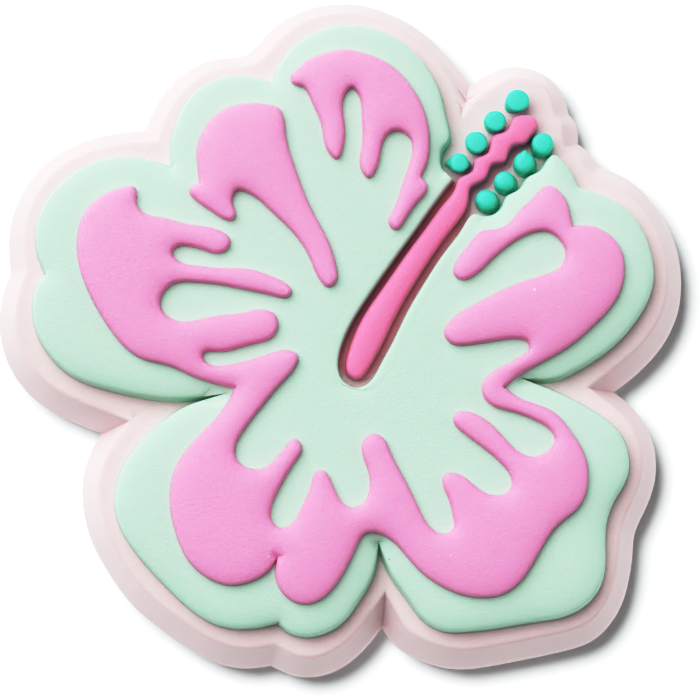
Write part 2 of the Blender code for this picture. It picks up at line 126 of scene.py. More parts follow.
# %% Outline of the petals and of the pistil's channel
CHANNEL = [
    (6.35, 8.93, NOTCH), (5.65, 8.04), (4.25, 6.08), (2.75, 3.99), (1.44, 2.09), (0.61, 0.74),
    (0.08, -0.54), (-0.06, -1.36), (0.15, -2.25), (0.85, -2.65), (1.5, -2.4), (2.1, -1.5),
    (2.85, -0.1), (3.6, 1.45), (4.65, 3.25), (5.7, 4.85), (6.75, 6.3),
]

# the channel's dead end, beside the lower edge of the tip
CHANNEL_END = [
    (7.25, 7.2), (7.35, 8.0), (7.75, 8.5), (8.35, 8.65), (8.6, 9.15), (9.0, 9.5), (9.5, 9.75),
    (9.7, 10.3), (10.2, 10.5), (10.6, 10.8), (10.7, 11.2), (10.3, 11.5), (9.5, 11.0),
    (8.6, 10.1), (7.8, 9.3), (7.0, 8.9),
]

# the hole that the channel makes in the plate stops a little short of the petals' edge
HOLE_OUTLINE = [
    *CHANNEL[:8], (0.15, -1.85), (0.5, -2.12), (0.95, -2.28), (1.4, -2.25), (1.8, -1.9),
    *CHANNEL[11:], *CHANNEL_END,
]

PETAL_OUTLINE = [
    # left petal
    (-16.4, 3.6, NOTCH), (-16.9, 5.0), (-16.9, 6.45), (-16.25, 7.95), (-15.15, 9.1), (-13.8, 9.9),
    (-12.25, 10.25), (-10.6, 10.05),
    # upper left petal
    (-9.45, 9.7, NOTCH), (-9.5, 10.7), (-9.3, 11.8), (-8.7, 13.2), (-7.6, 14.3), (-6.2, 14.8),
    (-4.95, 14.75),
    # top petal, with the hollow that clears the first bead
    (-3.8, 14.45, NOTCH), (-3.5, 15.35), (-2.6, 16.55), (-1.4, 17.35), (0.4, 17.7), (1.55, 17.6),
    (3.25, 16.9), (4.7, 15.55), (5.65, 13.75), (5.95, 12.45), (6.0, 10.9), (5.75, 10.6),
    (5.65, 10.15), (5.7, 9.7), (5.95, 9.35),
    *CHANNEL,
    # right petal, scalloped round the lower row of beads
    (7.35, 7.05), (8.2, 7.0), (8.9, 7.5), (9.2, 8.1), (9.9, 8.5), (10.35, 9.15), (11.0, 9.5),
    (11.4, 10.05), (11.85, 10.45), (12.25, 10.25), (12.85, 9.55),
    (13.3, 8.6, NOTCH), (14.3, 8.3), (15.7, 7.6), (16.7, 6.5), (17.3, 5.1), (17.5, 3.75),
    (17.2, 2.35), (16.55, 1.2), (15.65, 0.1), (14.35, -1.0), (13.2, -1.7), (11.8, -2.3),
    # lower right petal
    (10.65, -2.3, NOTCH), (11.55, -2.65), (12.9, -3.25), (14.45, -4.15), (15.5, -5.1),
    (15.95, -6.1), (16.05, -7.0), (15.8, -7.9), (15.1, -9.15), (14.75, -10.3), (14.7, -11.75),
    (14.5, -13.4), (13.65, -14.65), (12.4, -15.35), (10.75, -15.65), (8.3, -16.05), (6.85, -16.2),
    (5.9, -16.2), (4.8, -15.75), (3.65, -14.4), (2.6, -12.85),
    # lower left petal, with its two lobes
    (2.15, -11.7, NOTCH), (1.95, -12.8), (1.0, -14.6), (-0.05, -15.85), (-0.85, -16.3),
    (-1.9, -16.5), (-2.95, -16.2),
    (-3.45, -15.75, NOTCH), (-4.35, -15.95), (-5.65, -16.05), (-7.1, -15.7), (-8.9, -14.4),
    (-10.65, -12.6), (-11.95, -10.85), (-12.45, -9.45), (-12.45, -8.4), (-12.05, -7.1),
    (-11.0, -5.6), (-9.75, -4.45), (-8.5, -3.65),
    # underside of the left petal
    (-7.5, -3.3, NOTCH), (-9.15, -3.45), (-11.05, -3.25), (-13.0, -2.8), (-14.75, -2.15),
    (-16.15, -0.9), (-16.9, 0.5), (-17.1, 1.95), (-16.9, 2.9),
]
print("the petals' outline passes through", len(PETAL_OUTLINE), "places")

# %% [markdown]
# Three orchid patterns lie on the petals. Two stand alone. The third runs round through four
# petals in one piece, joined by narrow necks, so its outline is the longest one.

# %% Outlines of the patterns
PATTERN_TOP_PETAL = [
    # crown
    (-2.75, 14.65), (-2.35, 15.15), (-1.8, 15.6), (-0.85, 16.0), (0.35, 16.2), (1.35, 16.0),
    (2.7, 15.4), (3.85, 14.25), (4.5, 13.15), (4.9, 11.75), (4.95, 10.6),
    # right finger with its barb
    (4.6, 9.35), (4.5, 9.05), (4.75, 8.75), (4.8, 8.35), (4.45, 7.85), (3.55, 6.6), (3.05, 6.1),
    (2.7, 6.45), (2.9, 7.1), (3.45, 8.6), (4.0, 10.35), (3.95, 11.1), (3.4, 11.6), (2.9, 11.6),
    # middle finger
    (2.5, 11.3), (2.2, 10.35), (1.9, 9.35), (1.6, 9.0), (1.2, 9.4), (1.2, 10.65), (1.2, 12.7),
    (1.0, 13.7), (0.6, 14.05), (0.35, 13.85),
    # left finger
    (0.2, 12.0), (0.1, 10.6), (-0.2, 10.05), (-0.6, 10.35), (-1.0, 11.75), (-1.65, 13.45),
    (-2.1, 14.1), (-2.65, 14.3),
]

PATTERN_UPPER_LEFT_PETAL = [
    (-7.95, 10.55), (-7.7, 11.4), (-7.15, 12.25), (-6.35, 12.85), (-5.0, 13.15), (-3.85, 13.05),
    (-3.4, 12.85), (-3.2, 12.5),
    # long finger
    (-3.05, 11.45), (-2.55, 9.6), (-1.6, 7.2), (-0.6, 5.25), (-0.2, 3.85), (-0.2, 3.3),
    (-0.65, 2.9), (-1.05, 3.2), (-1.65, 4.45), (-2.5, 5.8), (-3.85, 7.15), (-5.05, 8.1),
    # barb
    (-5.8, 8.2), (-5.95, 7.95), (-5.95, 7.4), (-5.8, 6.85), (-6.0, 6.6), (-6.4, 6.65),
    (-7.2, 7.15), (-8.1, 7.8), (-8.35, 8.25), (-8.25, 8.45),
    (-7.8, 8.65, NOTCH), (-7.9, 9.5),
]

PATTERN_RING = [
    # left petal: first finger
    (-11.45, 8.45), (-11.3, 8.2), (-11.3, 7.65), (-11.05, 7.1), (-10.05, 6.75), (-8.4, 6.35),
    (-6.6, 5.95), (-6.1, 5.45), (-6.25, 5.0), (-6.85, 4.75), (-7.55, 4.95), (-8.4, 5.15),
    (-9.05, 5.1), (-9.3, 4.75), (-9.1, 4.4),
    # second finger
    (-8.05, 4.05), (-6.4, 3.9), (-5.05, 3.85), (-3.9, 3.5), (-2.95, 3.0), (-2.7, 2.65),
    (-2.8, 2.4), (-3.65, 2.4), (-5.05, 2.7), (-6.9, 3.05), (-8.1, 3.15), (-9.2, 3.05),
    (-9.8, 2.5), (-9.95, 1.85), (-9.65, 1.3), (-8.85, 0.95),
    # third finger
    (-7.1, 1.2), (-5.25, 1.45), (-4.2, 1.6), (-3.6, 1.3), (-3.45, 0.8), (-3.65, 0.25),
    (-4.95, -0.3), (-5.5, -0.45), (-6.9, -0.7), (-7.55, -0.8), (-7.6, -1.05), (-7.3, -1.4),
    # arm down to the lower left petal
    (-6.4, -1.5), (-5.0, -1.2), (-3.6, -0.75), (-2.75, -0.65), (-2.35, -0.95), (-2.45, -1.45),
    (-3.3, -2.5), (-4.35, -3.75), (-5.4, -5.15), (-5.8, -6.05), (-5.7, -6.7), (-4.95, -7.2),
    # lower left petal: first finger
    (-4.15, -7.15), (-3.65, -6.75), (-2.95, -5.9), (-2.5, -5.55), (-2.15, -5.9), (-2.45, -6.7),
    (-3.35, -8.2), (-3.8, -9.25), (-3.8, -10.0), (-3.35, -10.45), (-2.75, -10.3),
    # second finger
    (-2.1, -9.3), (-1.6, -8.1), (-1.25, -7.35), (-0.95, -7.3), (-0.6, -7.7), (-0.05, -8.85),
    (0.35, -9.25), (0.9, -9.3), (1.4, -8.95),
    # finger between the two lower petals
    (1.65, -8.15), (1.45, -7.0), (1.2, -6.0), (1.4, -5.5), (1.9, -5.25), (2.25, -5.4),
    (2.75, -6.25), (3.6, -7.9), (4.4, -9.55), (5.05, -10.5), (5.8, -10.75), (6.2, -10.5),
    # lower right petal: first finger
    (6.2, -9.7), (5.9, -8.65), (5.65, -7.85), (5.85, -7.45), (6.15, -7.4), (6.9, -7.7),
    (7.7, -8.35), (8.5, -8.65), (9.3, -8.4), (9.45, -7.75), (9.1, -7.1),
    # second finger
    (7.95, -6.05), (6.7, -5.1), (6.25, -4.45), (6.35, -4.15), (6.85, -4.0), (7.55, -4.2),
    (8.3, -4.7), (9.15, -5.6), (9.85, -6.25), (10.55, -6.5), (11.45, -6.2), (11.85, -5.6),
    # narrow neck to the right petal
    (11.6, -5.0), (10.75, -4.45), (9.35, -3.95), (8.4, -3.65), (7.95, -3.2), (7.85, -2.55),
    (8.25, -1.95), (9.4, -1.3), (10.2, -0.8), (10.45, -0.5), (10.35, -0.1),
    # right petal: first finger
    (9.95, 0.05), (8.6, -0.05), (6.95, -0.3), (6.1, -0.2), (5.75, 0.45), (5.95, 0.85),
    (7.2, 1.8), (8.6, 2.55), (9.95, 3.15), (11.35, 3.6), (12.2, 4.05), (12.5, 4.9),
    (12.2, 5.55), (11.45, 6.05), (10.7, 6.0),
    # second finger and its shoulder
    (9.65, 5.5), (8.4, 4.5), (7.35, 3.55), (6.6, 3.35), (6.3, 3.65), (6.5, 4.45), (7.1, 5.25),
    (7.8, 6.0), (8.9, 6.2), (9.65, 6.8), (10.1, 7.35), (10.75, 7.95), (11.15, 8.4),
    (11.65, 8.6), (12.1, 8.35), (12.6, 7.6), (12.8, 6.7),
    # outer side of the right petal
    (12.9, 6.3, NOTCH), (13.85, 6.35), (14.8, 5.95), (15.55, 5.05), (15.75, 4.1), (15.4, 2.5),
    (14.65, 1.45), (13.85, 0.65), (13.0, -0.1), (11.95, -0.8), (10.65, -1.5), (9.6, -2.15),
    # outer side of the lower right petal
    (9.05, -2.65, NOTCH), (9.9, -3.25), (11.75, -4.0), (12.7, -5.05), (13.45, -6.35),
    (13.65, -7.85), (13.4, -8.85), (12.8, -9.6), (12.05, -10.2), (11.5, -10.85), (10.7, -12.2),
    (9.9, -13.35), (8.95, -14.05), (7.8, -14.25), (6.55, -14.05), (5.2, -13.4), (4.1, -12.5),
    (3.0, -11.25), (2.15, -10.75), (1.5, -10.7),
    # outer side of the lower left petal
    (0.85, -11.55), (0.4, -12.5), (-0.4, -13.75), (-1.35, -14.5), (-2.2, -14.6), (-3.1, -14.05),
    (-3.55, -13.1),
    (-3.5, -12.2, NOTCH), (-4.05, -12.9), (-4.95, -13.4), (-6.0, -13.6), (-7.05, -13.3),
    (-8.2, -12.4), (-8.95, -10.95), (-9.35, -9.0), (-9.15, -7.4), (-8.4, -6.1), (-7.25, -4.85),
    (-6.35, -3.75),
    # outer side of the left petal
    (-5.8, -2.7, NOTCH), (-7.15, -2.4), (-8.05, -2.1), (-9.45, -1.5), (-10.95, -1.1),
    (-11.9, -0.45), (-12.5, 0.25), (-13.3, 1.45), (-14.15, 3.2), (-14.55, 4.95), (-14.5, 5.9),
    (-14.1, 7.05), (-13.3, 7.85), (-12.4, 8.3), (-11.8, 8.45),
]
print("the longest pattern passes through", len(PATTERN_RING), "places")

# %% [markdown]
# The pistil's stem lies in the channel and widens to a round end. Its tip is scalloped, with a
# hollow beside each bead.

# %% Outline of the pistil
PISTIL_STEM = [
    (6.84, 7.05), (6.4, 6.45), (5.74, 5.6), (4.72, 4.1), (3.73, 2.5), (2.91, 1.0), (2.3, -0.3),
    (1.77, -1.25), (1.37, -1.87), (0.9, -2.22), (0.43, -1.97), (0.3, -1.4), (0.45, -0.7),
    (1.13, 1.0), (2.31, 2.8), (3.66, 4.75), (4.97, 6.52), (5.8, 7.63), (6.34, 8.38),
]
PISTIL_TIP = [
    (6.68, 9.0), (7.4, 9.45), (7.6, 10.1), (8.2, 10.4), (8.45, 11.15), (8.75, 11.5),
    (9.28, 11.7), (9.55, 12.12), (9.83, 12.48), (10.55, 12.57), (10.93, 12.38), (11.05, 12.02),
    (10.77, 11.5), (10.32, 10.95), (9.74, 10.83), (9.42, 10.38), (9.25, 9.97), (8.53, 9.75),
    (8.25, 9.17), (7.9, 8.8), (7.34, 8.5), (7.2, 7.8),
]
print("the pistil's outline passes through", len(PISTIL_STEM + PISTIL_TIP), "places")

# %% [markdown]
# A cubic curve through the places bends as little as it can, like a thin strip of wood held by
# pins. That is what a pattern cutter's spline does, and it gives petals without flat spots.
# Bezier handles could do the same, but then every place needs two handles as well.

# %% Turn places into smooth outlines


def spline_run(knots, closed, step):
    """Points about step apart on the smooth curve through the knots, without its last one."""
    knots = np.array(knots + knots[:1] if closed else knots)
    spans = np.diff(knots, axis=0)
    length = np.linalg.norm(spans, axis=1)
    slope = spans / length[:, None]
    last = len(length)
    system = np.zeros((last + 1, last + 1))
    bend = np.zeros((last + 1, 2))
    for i in range(1, last):
        system[i, i - 1:i + 2] = length[i - 1], 2 * (length[i - 1] + length[i]), length[i]
        bend[i] = 6 * (slope[i] - slope[i - 1])
    system[0, 0] = 1
    system[last, last] = 1
    if closed:
        system[0, last] = -1
        system[last, :2] = 2 * length[0], length[0]
        system[last, last - 1:] = length[-1], 2 * length[-1]
        bend[last] = 6 * (slope[0] - slope[-1])
    curvature = np.linalg.solve(system, bend)
    points = []
    for i in range(last):
        count = max(1, round(length[i] / step))
        for s in np.arange(count) / count:
            u = 1 - s
            sag = (u ** 3 - u) * curvature[i] + (s ** 3 - s) * curvature[i + 1]
            points.append(u * knots[i] + s * knots[i + 1] + sag * length[i] ** 2 / 6)
    return points


def outline(knots, step):
    """Closed outline through the knots, with a sharp corner at each knot marked NOTCH."""
    corners = [i for i, knot in enumerate(knots) if knot[-1] == NOTCH]
    places = [knot[:2] for knot in knots]
    if not corners:
        return np.array(spline_run(places, True, step))
    places = places[corners[0]:] + places[:corners[0]]
    corners = [i - corners[0] for i in corners] + [len(places)]
    places.append(places[0])
    points = []
    for start, end in zip(corners, corners[1:]):
        points += spline_run(places[start:end + 1], False, step)
    return np.array(points)


FINE_STEP = 0.14
plate_foot = outline(PLATE_OUTLINE, FINE_STEP)
petal_edge = outline(PETAL_OUTLINE, FINE_STEP)
groove_edge = outline(HOLE_OUTLINE, FINE_STEP)
print("the petals' smooth outline has", len(petal_edge), "points")

# %% [markdown]
# Walls that lean and edges that are rounded are made of the same outline, moved a little inwards
# or outwards. Where petals meet in a notch the moved outline would cross itself, so `shrink` cuts
# across there.

# %% Move an outline in or out


def inset(points, distance):
    """The outline moved inwards by distance, or outwards if that is below zero."""
    after = np.roll(points, -1, axis=0)
    area = np.sum(points[:, 0] * after[:, 1] - after[:, 0] * points[:, 1]) / 2
    along = after - points
    along /= np.linalg.norm(along, axis=1)[:, None]
    inward = np.column_stack([-along[:, 1], along[:, 0]]) * math.copysign(1, area)
    before = np.roll(inward, 1, axis=0)
    spread = 1 + np.sum(inward * before, axis=1)
    return points + distance * (inward + before) / spread[:, None]


def distance_to(outline_points, places):
    """Distance of each place from the outline, in millimetres."""
    start = outline_points
    run = np.roll(start, -1, axis=0) - start
    square = np.sum(run ** 2, axis=1)
    nearest = np.full(len(places), np.inf)
    for chunk in np.array_split(np.arange(len(places)), len(places) // 400 + 1):
        offset = places[chunk, None, :] - start[None]
        share = np.clip(np.sum(offset * run, axis=2) / square, 0, 1)
        gap = np.linalg.norm(offset - share[..., None] * run, axis=2)
        nearest[chunk] = gap.min(axis=1)
    return nearest


def shrink(points, distance):
    """inset, but where a tight bend would fold over itself the ring goes straight across."""
    ring = inset(points, distance)
    along = np.roll(points, -1, axis=0) - points
    moved = np.roll(ring, -1, axis=0) - ring
    folded = np.sum(along * moved, axis=1) < 0
    folded |= distance_to(points, ring) < 0.99 * distance
    folded |= np.roll(folded, 1) | np.roll(folded, -1)
    if folded.all() or not folded.any():
        return ring
    first = int(np.argmin(folded))
    ring, folded = np.roll(ring, -first, axis=0), np.roll(folded, -first)
    sound = np.append(np.flatnonzero(~folded), len(ring))
    ends = np.vstack([ring, ring[:1]])
    for before, after in zip(sound, sound[1:]):
        share = (np.arange(before + 1, after) - before)[:, None] / (after - before)
        ring[before + 1:after] = ends[before] + (ends[after] - ends[before]) * share
    return np.roll(ring, first, axis=0)


moved = distance_to(petal_edge, shrink(petal_edge, 0.1))
print("moved in by 0.1 mm, the petals' outline is", round(moved.mean(), 3), "mm further in")

# %% [markdown]
# To swell, a layer needs points inside its outline and not only on it. The inside is filled with
# a honeycomb of points, plus extra rows close to the edge where the surface curves most, and
# Blender's own constrained Delaunay routine joins them with well shaped triangles.

# %% Fill an outline with triangles


KEEP_THE_INSIDE = 1
SAME_PLACE = 1e-7


def honeycomb(low, high, spacing):
    """Points of a triangular pattern over the box between two corners."""
    rows = np.arange(low[1], high[1], spacing * math.sqrt(3) / 2)
    columns = np.arange(low[0], high[0], spacing)
    x, y = np.meshgrid(columns, rows)
    x = x + (np.arange(len(rows)) % 2)[:, None] * spacing / 2
    return np.column_stack([x.ravel(), y.ravel()])


def turning(loop):
    """Twice the area of a loop, above zero where it runs anticlockwise."""
    after = np.roll(loop, -1, axis=0)
    return np.sum(loop[:, 0] * after[:, 1] - after[:, 0] * loop[:, 1])


def fill(loops, extra):
    """Triangles between an outer loop and any holes, over the loops' points and extra ones."""
    points = np.vstack([*loops, extra])
    starts = np.cumsum([0] + [len(loop) for loop in loops])
    rings = []
    for loop, start in zip(loops, starts):
        ring = list(range(start, start + len(loop)))
        rings.append(ring if turning(loop) > 0 else ring[::-1])
    corners = [Vector(place) for place in points]
    result = delaunay_2d_cdt(corners, [], rings, KEEP_THE_INSIDE, SAME_PLACE)
    _, _, faces, sources, _, rings_of = result
    origin = [source[0] for source in sources]
    triangles = [[origin[i] for i in face] for face, ring in zip(faces, rings_of) if ring == [0]]
    return points, np.array(triangles)


def swell_points(edge, rows, spacing):
    """Rows of points inside the edge at the given distances, then a honeycomb for the rest."""
    extra = []
    for row in rows:
        ring = inset(edge, row)
        clear = distance_to(edge, ring) > 0.97 * row
        extra.append(ring[clear])
    inner = honeycomb(edge.min(axis=0), edge.max(axis=0), spacing)
    _, triangles = fill([edge], inner)
    used = np.unique(triangles)
    inner = inner[used[used >= len(edge)] - len(edge)]
    inner = inner[distance_to(edge, inner) > rows[-1] + 0.6 * spacing]
    return np.vstack([*extra, inner])


# how far in from the edge each extra row of points lies, in millimetres
EDGE_ROWS = [0.03, 0.07, 0.12, 0.18, 0.25, 0.35]
square = np.array([(0.0, 0.0), (1.0, 0.0), (1.0, 1.0), (0.0, 1.0)])
_, triangles = fill([square], swell_points(square, EDGE_ROWS, 0.2))
print("a square of 1 mm takes", len(triangles), "triangles")

# %% [markdown]
# The swelling itself is a small physics problem. A soft sheet that is held at its edge and pushed
# from below rises steeply near the edge and levels out further in. `swell` solves that balance
# on the triangles: every point pulls on its neighbours, and a gentle spring holds the height
# near 1. Wide lobes then rise more than narrow fingers, as in the real charm. A cloth simulation
# could give the same, but this takes a second and comes out the same each time.

# %% Let a sheet swell between its held edges


def swell(points, triangles, held, reach):
    """Heights from 0 at the held points to 1 at points much further than reach from them."""
    total = len(points)
    corner = [points[triangles[:, k]] for k in range(3)]
    one, two = corner[1] - corner[0], corner[2] - corner[0]
    area = np.abs(one[:, 0] * two[:, 1] - one[:, 1] * two[:, 0]) / 2
    mass = np.bincount(triangles.ravel(), np.repeat(area / 3, 3), total)
    starts, ends, pulls = [], [], []
    for i, j, k in ((0, 1, 2), (1, 2, 0), (2, 0, 1)):
        across = np.sum((corner[i] - corner[k]) * (corner[j] - corner[k]), axis=1)
        starts.append(triangles[:, i])
        ends.append(triangles[:, j])
        pulls.append(across / (4 * area))
    starts, ends, pulls = np.concatenate(starts), np.concatenate(ends), np.concatenate(pulls)
    free = np.ones(total)
    free[held] = 0

    def tension(height):
        pull = (height[starts] - height[ends]) * pulls
        spread = np.bincount(starts, pull, total) - np.bincount(ends, pull, total)
        return free * (spread + mass * height / reach ** 2)

    height = np.zeros(total)
    rest = free * mass / reach ** 2
    stiffness = np.bincount(starts, pulls, total) + np.bincount(ends, pulls, total)
    stiffness = np.maximum(stiffness + mass / reach ** 2, 1e-9)
    search = rest / stiffness
    energy = rest @ search
    goal = energy * 1e-10
    for _ in range(3000):
        force = tension(search)
        step = energy / (search @ force)
        height += step * search
        rest -= step * force
        eased = rest / stiffness
        fresh = rest @ eased
        if fresh < goal:
            break
        search = eased + search * fresh / energy
        energy = fresh
    return height


# %% [markdown]
# A layer is one closed body: a top, a short wall that leans in a little so that the layer leaves
# its mould, and a flat underside. The liquid plastic wets the layer below it, so the foot of the
# wall flares out a little. It doesn't beside the channel, where a wall of the mould stood. The
# wall has a few rows so that the light grades over it.

# %% Build a closed layer from its parts


def new_mesh(name, points, faces, sharp=50):
    """A smooth-shaded mesh from points in millimetres, with its faces pointing out."""
    mesh = bpy.data.meshes.new(name)
    mesh.from_pydata((np.asarray(points) * MM).tolist(), [], [list(map(int, f)) for f in faces])
    mesh.validate()
    mesh.shade_smooth()
    mesh.set_sharp_from_angle(angle=math.radians(sharp))
    return mesh


def facing_up(points, triangles):
    """The triangles, each turned so that it faces +Z."""
    a, b, c = (points[triangles[:, k]] for k in range(3))
    cross = (b[:, 0] - a[:, 0]) * (c[:, 1] - a[:, 1]) - (b[:, 1] - a[:, 1]) * (c[:, 0] - a[:, 0])
    turned = triangles.copy()
    turned[cross < 0] = triangles[cross < 0][:, ::-1]
    return turned


def band(low, high, count):
    """Faces between two rings of points, from the number of each ring's first point."""
    after = [(i + 1) % count for i in range(count)]
    return [[low + i, low + j, high + j, high + i] for i, j in enumerate(after)]


NO_FLARE = 0.3            # from the channel, in millimetres
FLARE_FADE = 0.8          # beyond that, the flare grows over this distance
FLARE_CURVE = 6           # higher keeps the flare nearer to the foot


def closed_layer(name, edge, foot, draft, wall_rows, top_height, rows=EDGE_ROWS, spacing=0.2,
                 flare=0.0, sole=None):
    """A layer inside its edge, with all its sizes in millimetres.

    foot is the height of the wall's foot: one number, or one for each point of the edge.
    draft is how far the wall leans in, and flare is how far its foot spreads out.
    top_height(points, triangles, distance) gives the heights of the top's points.
    sole is the height of the underside, where that isn't the foot's.
    """
    rim = shrink(edge, draft)
    flared = edge
    if flare:
        grown = np.clip((distance_to(groove_edge, edge) - NO_FLARE) / FLARE_FADE, 0, 1)
        flared = edge + (shrink(edge, -flare) - edge) * grown[:, None]
    points, triangles = fill([rim], swell_points(rim, rows, spacing))
    triangles = facing_up(points, triangles)
    distance = distance_to(rim, points)
    distance[:len(rim)] = 0
    height = top_height(points, triangles, distance)
    count = len(rim)
    levels = [np.column_stack([points, height])]
    faces = triangles.tolist()
    upper = 0
    clockwise = turning(edge) < 0
    for row in range(1, wall_rows + 1):
        share = row / wall_rows
        ring = rim + (edge - rim) * share + (flared - edge) * share ** FLARE_CURVE
        level = height[:count] + (foot - height[:count]) * share
        if row == wall_rows and sole is not None:
            level = np.full(count, sole)
        lower = len(points) + (row - 1) * count
        levels.append(np.column_stack([ring, level]))
        faces += band(upper, lower, count) if clockwise else band(lower, upper, count)
        upper = lower
    _, underside = fill([edge], np.empty((0, 2)))
    faces += (facing_up(edge, underside)[:, ::-1] + upper).tolist()
    return new_mesh(name, np.vstack(levels), faces)


def round_edge(distance, radius):
    """Height of a quarter-round edge at a distance in from its rim."""
    inward = np.clip(distance / radius, 0, 1)
    return radius * np.sqrt(1 - (1 - inward) ** 2)


def add_piece(name, mesh, material, slot, *replaced):
    """A finished piece that rides on the charm's only body and stands for its solids."""
    piece = bpy.data.objects.new(name, mesh)
    bpy.context.scene.collection.objects.link(piece)
    mesh.materials.clear()
    mesh.materials.append(material)
    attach(piece, "root")
    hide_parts(*replaced)
    print(name, "has", len(mesh.polygons), "faces")
    return piece


# %% [markdown]
# ## Finishes
#
# Soft PVC is matte and even. What gives it life is small: the mould is sandblasted, so the skin
# has a very fine grain, the pigment is never mixed quite evenly, and a little dust and a few
# bubbles show as specks. All the colours share these effects, so each effect is a node group
# that is built once. This first group is the grain, as a height for a Bump node.

# %% Node groups shared by all the rubbers


def new_group(name, inputs, outputs):
    """An empty shader node group with float inputs (name, value) and float outputs."""
    group = bpy.data.node_groups.new(name, "ShaderNodeTree")
    for label, value in inputs:
        socket = group.interface.new_socket(label, in_out="INPUT", socket_type="NodeSocketFloat")
        socket.default_value = value
    for label in outputs:
        group.interface.new_socket(label, in_out="OUTPUT", socket_type="NodeSocketFloat")
    nodes = group.nodes
    return group, nodes.new("NodeGroupInput"), nodes.new("NodeGroupOutput")


def add_node(tree, kind, settings=None, **values):
    """A node with its settings made and its input sockets set by name."""
    node = tree.nodes.new(kind)
    for key, value in (settings or {}).items():
        setattr(node, key, value)
    for label, value in values.items():
        node.inputs[label.replace("_", " ")].default_value = value
    return node


def math_node(tree, operation, first, second):
    """A Math node fed by sockets or plain numbers."""
    node = tree.nodes.new("ShaderNodeMath")
    node.operation = operation
    for slot_number, feed in enumerate((first, second)):
        if isinstance(feed, (int, float)):
            node.inputs[slot_number].default_value = feed
        else:
            tree.links.new(feed, node.inputs[slot_number])
    return node.outputs[0]


def object_noise(tree, scale, detail, offset=(0, 0, 0)):
    """Noise that stays on the object, with its scale given in cells per metre."""
    place = add_node(tree, "ShaderNodeTexCoord")
    shift = add_node(tree, "ShaderNodeMapping", {"vector_type": "POINT"})
    shift.inputs["Location"].default_value = offset
    tree.links.new(place.outputs["Object"], shift.inputs["Vector"])
    noise = add_node(tree, "ShaderNodeTexNoise", Detail=detail)
    tree.links.new(shift.outputs["Vector"], noise.inputs["Vector"])
    if isinstance(scale, (int, float)):
        noise.inputs["Scale"].default_value = scale
    else:
        tree.links.new(scale, noise.inputs["Scale"])
    return noise.outputs["Fac"]


grain_group, grain_in, grain_out = new_group(
    "sandblasted grain", [("Cells per metre", 9000.0), ("Softness", 0.3)], ["Height"])
fine = object_noise(grain_group, grain_in.outputs["Cells per metre"], 2.0)
broad_scale = math_node(grain_group, "MULTIPLY", grain_in.outputs["Cells per metre"], 0.3)
broad = object_noise(grain_group, broad_scale, 1.0, (3.1, 1.7, 0.4))
broad_part = math_node(grain_group, "MULTIPLY", broad, grain_in.outputs["Softness"])
grain_group.links.new(math_node(grain_group, "ADD", fine, broad_part), grain_out.inputs["Height"])
print("made the group", grain_group.name)

# %% [markdown]
# Pigment drifts over several millimetres. The group puts out a value around zero, so a material can
# add it to its brightness and choose how strong the drift is.

# %% Colour drift
drift_group, drift_in, drift_out = new_group(
    "pigment drift", [("Cells per metre", 140.0), ("Strength", 0.03)], ["Value"])
slow = object_noise(drift_group, drift_in.outputs["Cells per metre"], 3.0, (0.7, 2.2, 5.0))
centred = math_node(drift_group, "SUBTRACT", slow, 0.5)
drift = math_node(drift_group, "MULTIPLY", centred, drift_in.outputs["Strength"])
drift_group.links.new(drift, drift_out.inputs["Value"])
print("made the group", drift_group.name)

# %% [markdown]
# Specks are the odd grain of dust and the odd tiny bubble. Each Voronoi cell has one point, and
# its random colour says whether that point is a speck at all.

# %% Specks
speck_group, speck_in, speck_out = new_group(
    "specks", [("Cells per metre", 1500.0), ("Share", 0.03), ("Size", 0.12)], ["Mask"])
speck_place = add_node(speck_group, "ShaderNodeTexCoord")
cells = add_node(speck_group, "ShaderNodeTexVoronoi")
speck_group.links.new(speck_place.outputs["Object"], cells.inputs["Vector"])
speck_group.links.new(speck_in.outputs["Cells per metre"], cells.inputs["Scale"])
pick = add_node(speck_group, "ShaderNodeSeparateColor")
speck_group.links.new(cells.outputs["Color"], pick.inputs["Color"])
chosen = math_node(speck_group, "LESS_THAN", pick.outputs["Red"], speck_in.outputs["Share"])
wide = math_node(speck_group, "MULTIPLY", pick.outputs["Green"], speck_in.outputs["Size"])
close = math_node(speck_group, "LESS_THAN", cells.outputs["Distance"], wide)
speck_group.links.new(math_node(speck_group, "MULTIPLY", chosen, close), speck_out.inputs["Mask"])
print("made the group", speck_group.name)

# %% [markdown]
# A little light goes into soft PVC, wanders about under the skin and comes out again. That
# softens the shading and makes the shadows more colourful. Subsurface scattering does this. Its
# scale is a quarter of a millimetre in the layers, and a whole one in the glossier beads. The
# light spreads furthest in each rubber's own colour, so red has the largest radius in the pinks.

# %% One function makes all the rubbers


SCATTER_WEIGHT = 0.5
SPECK_STRENGTH = 0.45
MIX_FIRST, MIX_SECOND, MIX_RESULT = 6, 7, 2     # a Mix node's colour sockets


